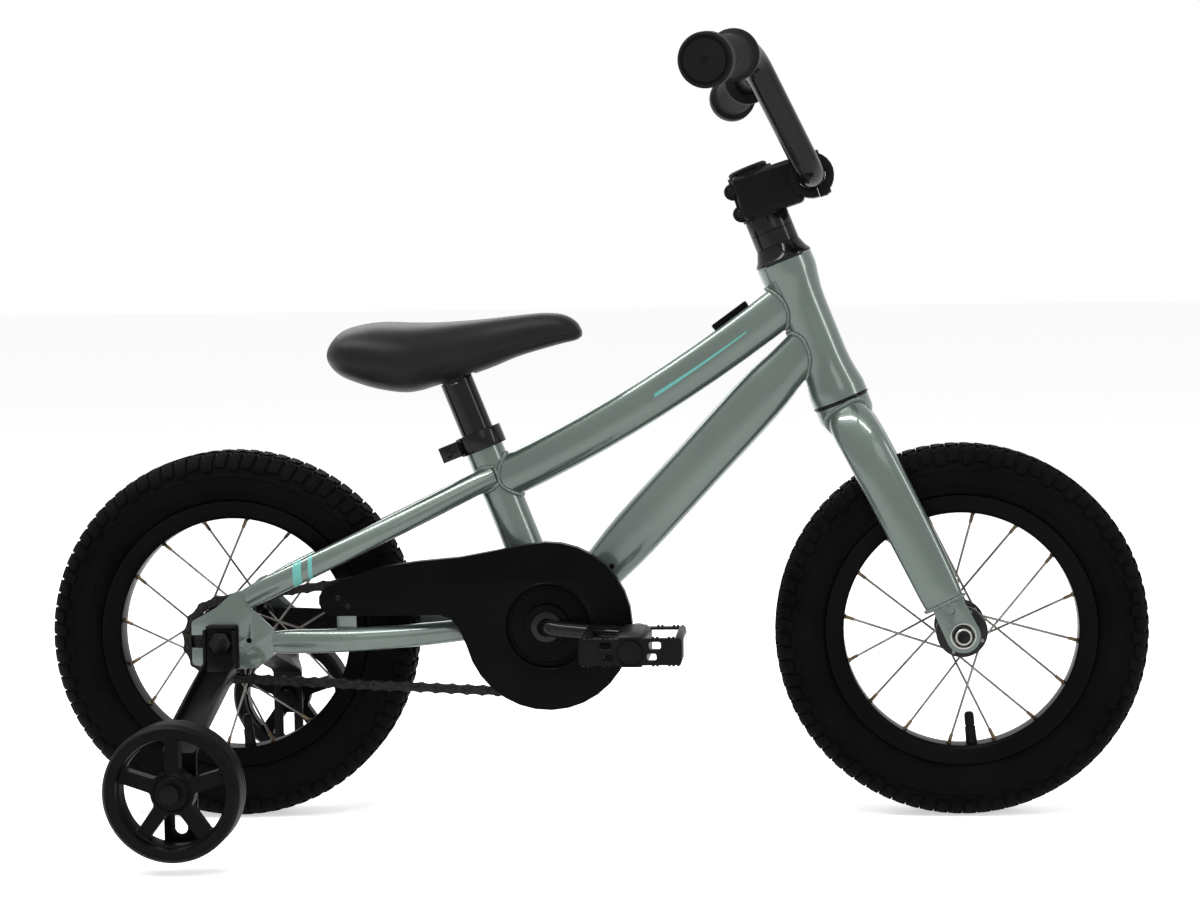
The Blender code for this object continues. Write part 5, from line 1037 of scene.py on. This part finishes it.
pedal = mm({
    "half": (40.1, 11.7), "in": 77.3, "out": 150.7, "rail": 7.8, "cell": (12.5, 34.5), "wall": 3.4,
    "step": (9, 36.5, 10.3), "nubRows": (33.5, 30.2, 21, 17.7), "nubFoot": 10.1, "nubRail": 3.5,
    "holes": ((14.5, 24, 1.6, 8), (13, 20.5, -7.2, -1.2)),
    "nub": ((0, -0.4), (1.1, -0.4), (0.9, 1.4), (0.4, 1.7), (0, 1.7)),
    "groove": ((8.8, 149), (11.2, 149), (11.2, 153), (8.8, 153)), "bore": (6, 70, 140),
    "lens": (39.4, 40.8, 97, 131, 7)})


def buildPedal(side, sign, x, z):
    long, high = pedal["half"]
    outline = softCorners(boxed(x - long, x + long, z - high, z + high), 0.0055, 5)
    body = slab(side + "_pedal_cage", outline, *sorted((sign * pedal["in"], sign * pedal["out"])))
    inner, outer = sign * (pedal["in"] + pedal["rail"]), sign * (pedal["out"] - pedal["rail"])
    cuts = []
    for end in (-1, 1):
        near, far = (x + end * reach for reach in pedal["cell"])
        cuts.append(block("cell", (near, inner, z - 0.03), (far, outer, z + 0.03)))
        inside = high - pedal["wall"]
        cuts.append(block("hollow", (near, sign * 0.07, z - inside), (far, inner, z + inside)))
        start, stop, level = pedal["step"]
        for up in (-1, 1):
            cuts.append(block("step", (x + end * start, -0.2, z + up * level), (x + end * stop, 0.2, z + up * 0.03)))
        for start, stop, low, top in pedal["holes"]:
            hole = softCorners(boxed(x + end * start, x + end * stop, z + low, z + top), 0.002)
            cuts.append(slab("hole", hole, *sorted((sign * 0.13, sign * 0.16))))
    cuts.append(turned("ring_groove", pedal["groove"], 48, alongY(x, z, sign)))
    cuts.append(turned("bore", rod(*pedal["bore"]), 32, alongY(x, z, sign)))
    cutAway(body, *cuts)
    bevelled(body, 0.5, 2)
    parts = [smooth(body)]
    for end in (-1, 1):
        for reach in pedal["nubRows"]:
            for rail in (pedal["in"] + pedal["nubRail"], pedal["out"] - pedal["nubRail"]):
                for up in (-1, 1):
                    foot = (x + end * reach, sign * rail, z + up * pedal["nubFoot"])
                    parts.append(turned("nub", pedal["nub"], 10, aimed(foot, (0, 0, up))))
    fit(join(side + "_pedal_cage", parts), side + "_pedal_body", "satinBlack", side + "_pedal")
    near, far, start, stop, tall = pedal["lens"]
    for end, word in ((-1, "back"), (1, "front")):
        corners = (x + end * near, sign * start, z - tall), (x + end * far, sign * stop, z + tall)
        lens = block("%s_pedal_%s_lens" % (side, word), *corners)
        fit(bevelled(lens, 0.5, 2), side + "_pedal_body", "clearLens")


spindle = turned("spindle_shaft", pin(*crankArm["spindle"]), 48, alongY(*bracket.xz))
fit(spindle, "crank", "darkSteel", "crank_spindle")
fit(turned("chainring_disc", crankArm["disc"], 96, alongY(*bracket.xz)), "crank", "guardPlastic")
for side, sign in sides:
    dressed(side + "_bearing_cup", "darkSteel", 0.4)
    x, z = crankArm[side]
    line = sign * crankArm["line"]
    corners = [(bracket.x, sign * 0.05, bracket.z), (bracket.x, line, bracket.z), (x, line, z)]
    parts = [pipe("rod", bent(corners, crankArm["bend"], 12), crankArm["radius"], 32)]
    for name in ("eye", "axle"):
        parts.append(turned(name, crankArm[name], 40, alongY(x, z, sign)))
    parts.append(turned("lock_ring", crankArm["lockRing"], 40, alongY(*bracket.xz, sign)))
    fit(join(side + "_crank_rod", parts), "crank", "blackPaint", side + "_crank")
    buildPedal(side, sign, x, z)
print("drive train built")

# chain guard
dressed("chain_guard", "guardPlastic", 1.2, 3)
lip = mm(((34.3, 53.5), (34.3, 54.6), (34.7, 54.9), (35.4, 54.9), (36, 54.4), (36, 53.5)))
fit(turned("guard_hole_lip", lip, 96, alongY(-0.0345, 0.163)), "frame", "guardPlastic")
for number, (x, z) in enumerate(((-0.2057, 0.1873), (-0.1977, 0.1807)), 1):
    screwHead("guard_screw_%d" % number, "frame", (x, -0.0545, z), (0, -1, 0), 2.4, 1.2)
dressed("guard_tab", "sagePaint", 0.4)

# small frame pieces and stabilisers
for node, material, edge in (
        ("right_dropout", "sagePaint", 0.6), ("left_dropout", "sagePaint", 0.6),
        ("chainstay_bridge", "sagePaint", 0), ("top_tube_pad", "guardPlastic", 1),
        ("rear_axle", "darkSteel", 0.4), ("brake_arm", "satinBlack", 0.4), ("brake_strap", "darkSteel", 0.4)):
    dressed(node, material, edge)
stabiliser = {
    "centre": (-0.302, 0.0631), "windows": 5, "windowOut": (0.0407, 28.5), "windowIn": (0.0172, 17),
    "profile": mm(((5, 239), (12.2, 239), (13, 238.2), (13.2, 236.15), (15, 234.45), (18, 234.05), (40, 234.05),
      (41.6, 235.05), (42, 238), (42.4, 241), (43.2, 242), (49.2, 242), (50, 241.8), (52.1, 239.6),
      (52.7, 238.4), (52.7, 235.3), (51.8, 234.9), (51.8, 234.1), (52.7, 233.7), (52.7, 228.5), (51.8, 228.1),
      (51.8, 227.3), (52.7, 226.9), (52.7, 221.7), (51.8, 221.3), (51.8, 220.5), (52.7, 220.1), (52.7, 216.9),
      (52.1, 215.7), (50, 213.3), (42.4, 213.3), (42, 214.3), (42, 222.65), (40.5, 223.15), (14, 223.15),
      (13, 222.15), (13, 213.3), (5, 213.3)))}
for side, sign in sides:
    x, z = stabiliser["centre"]
    roller = turned(side + "_stabiliser_roller", stabiliser["profile"], 96, alongY(x, z, sign), 30)
    (far, wide), (near, narrow) = stabiliser["windowOut"], stabiliser["windowIn"]
    tools = []
    for window in range(stabiliser["windows"]):
        middle = 360 / stabiliser["windows"] * (window + 0.75)
        outline = arc((x, z), far, middle - wide, middle + wide, 8)
        outline += arc((x, z), near, middle + narrow, middle - narrow, 2)
        tools.append(slab("window", softCorners(outline, 0.003), *sorted((sign * 0.2, sign * 0.26))))
    cutAway(roller, *tools)
    bevelled(roller, 0.3, 1, 50)
    fit(smooth(roller, 30), side + "_roller", "wheelPlastic", side + "_stabiliser_wheel")
    for part, edge in (("axle", 0.5), ("bracket", 0.4), ("arm", 0.5)):
        dressed(side + "_stabiliser_" + part, "satinBlack", edge)
print("stabilisers built")

print("all pieces built")
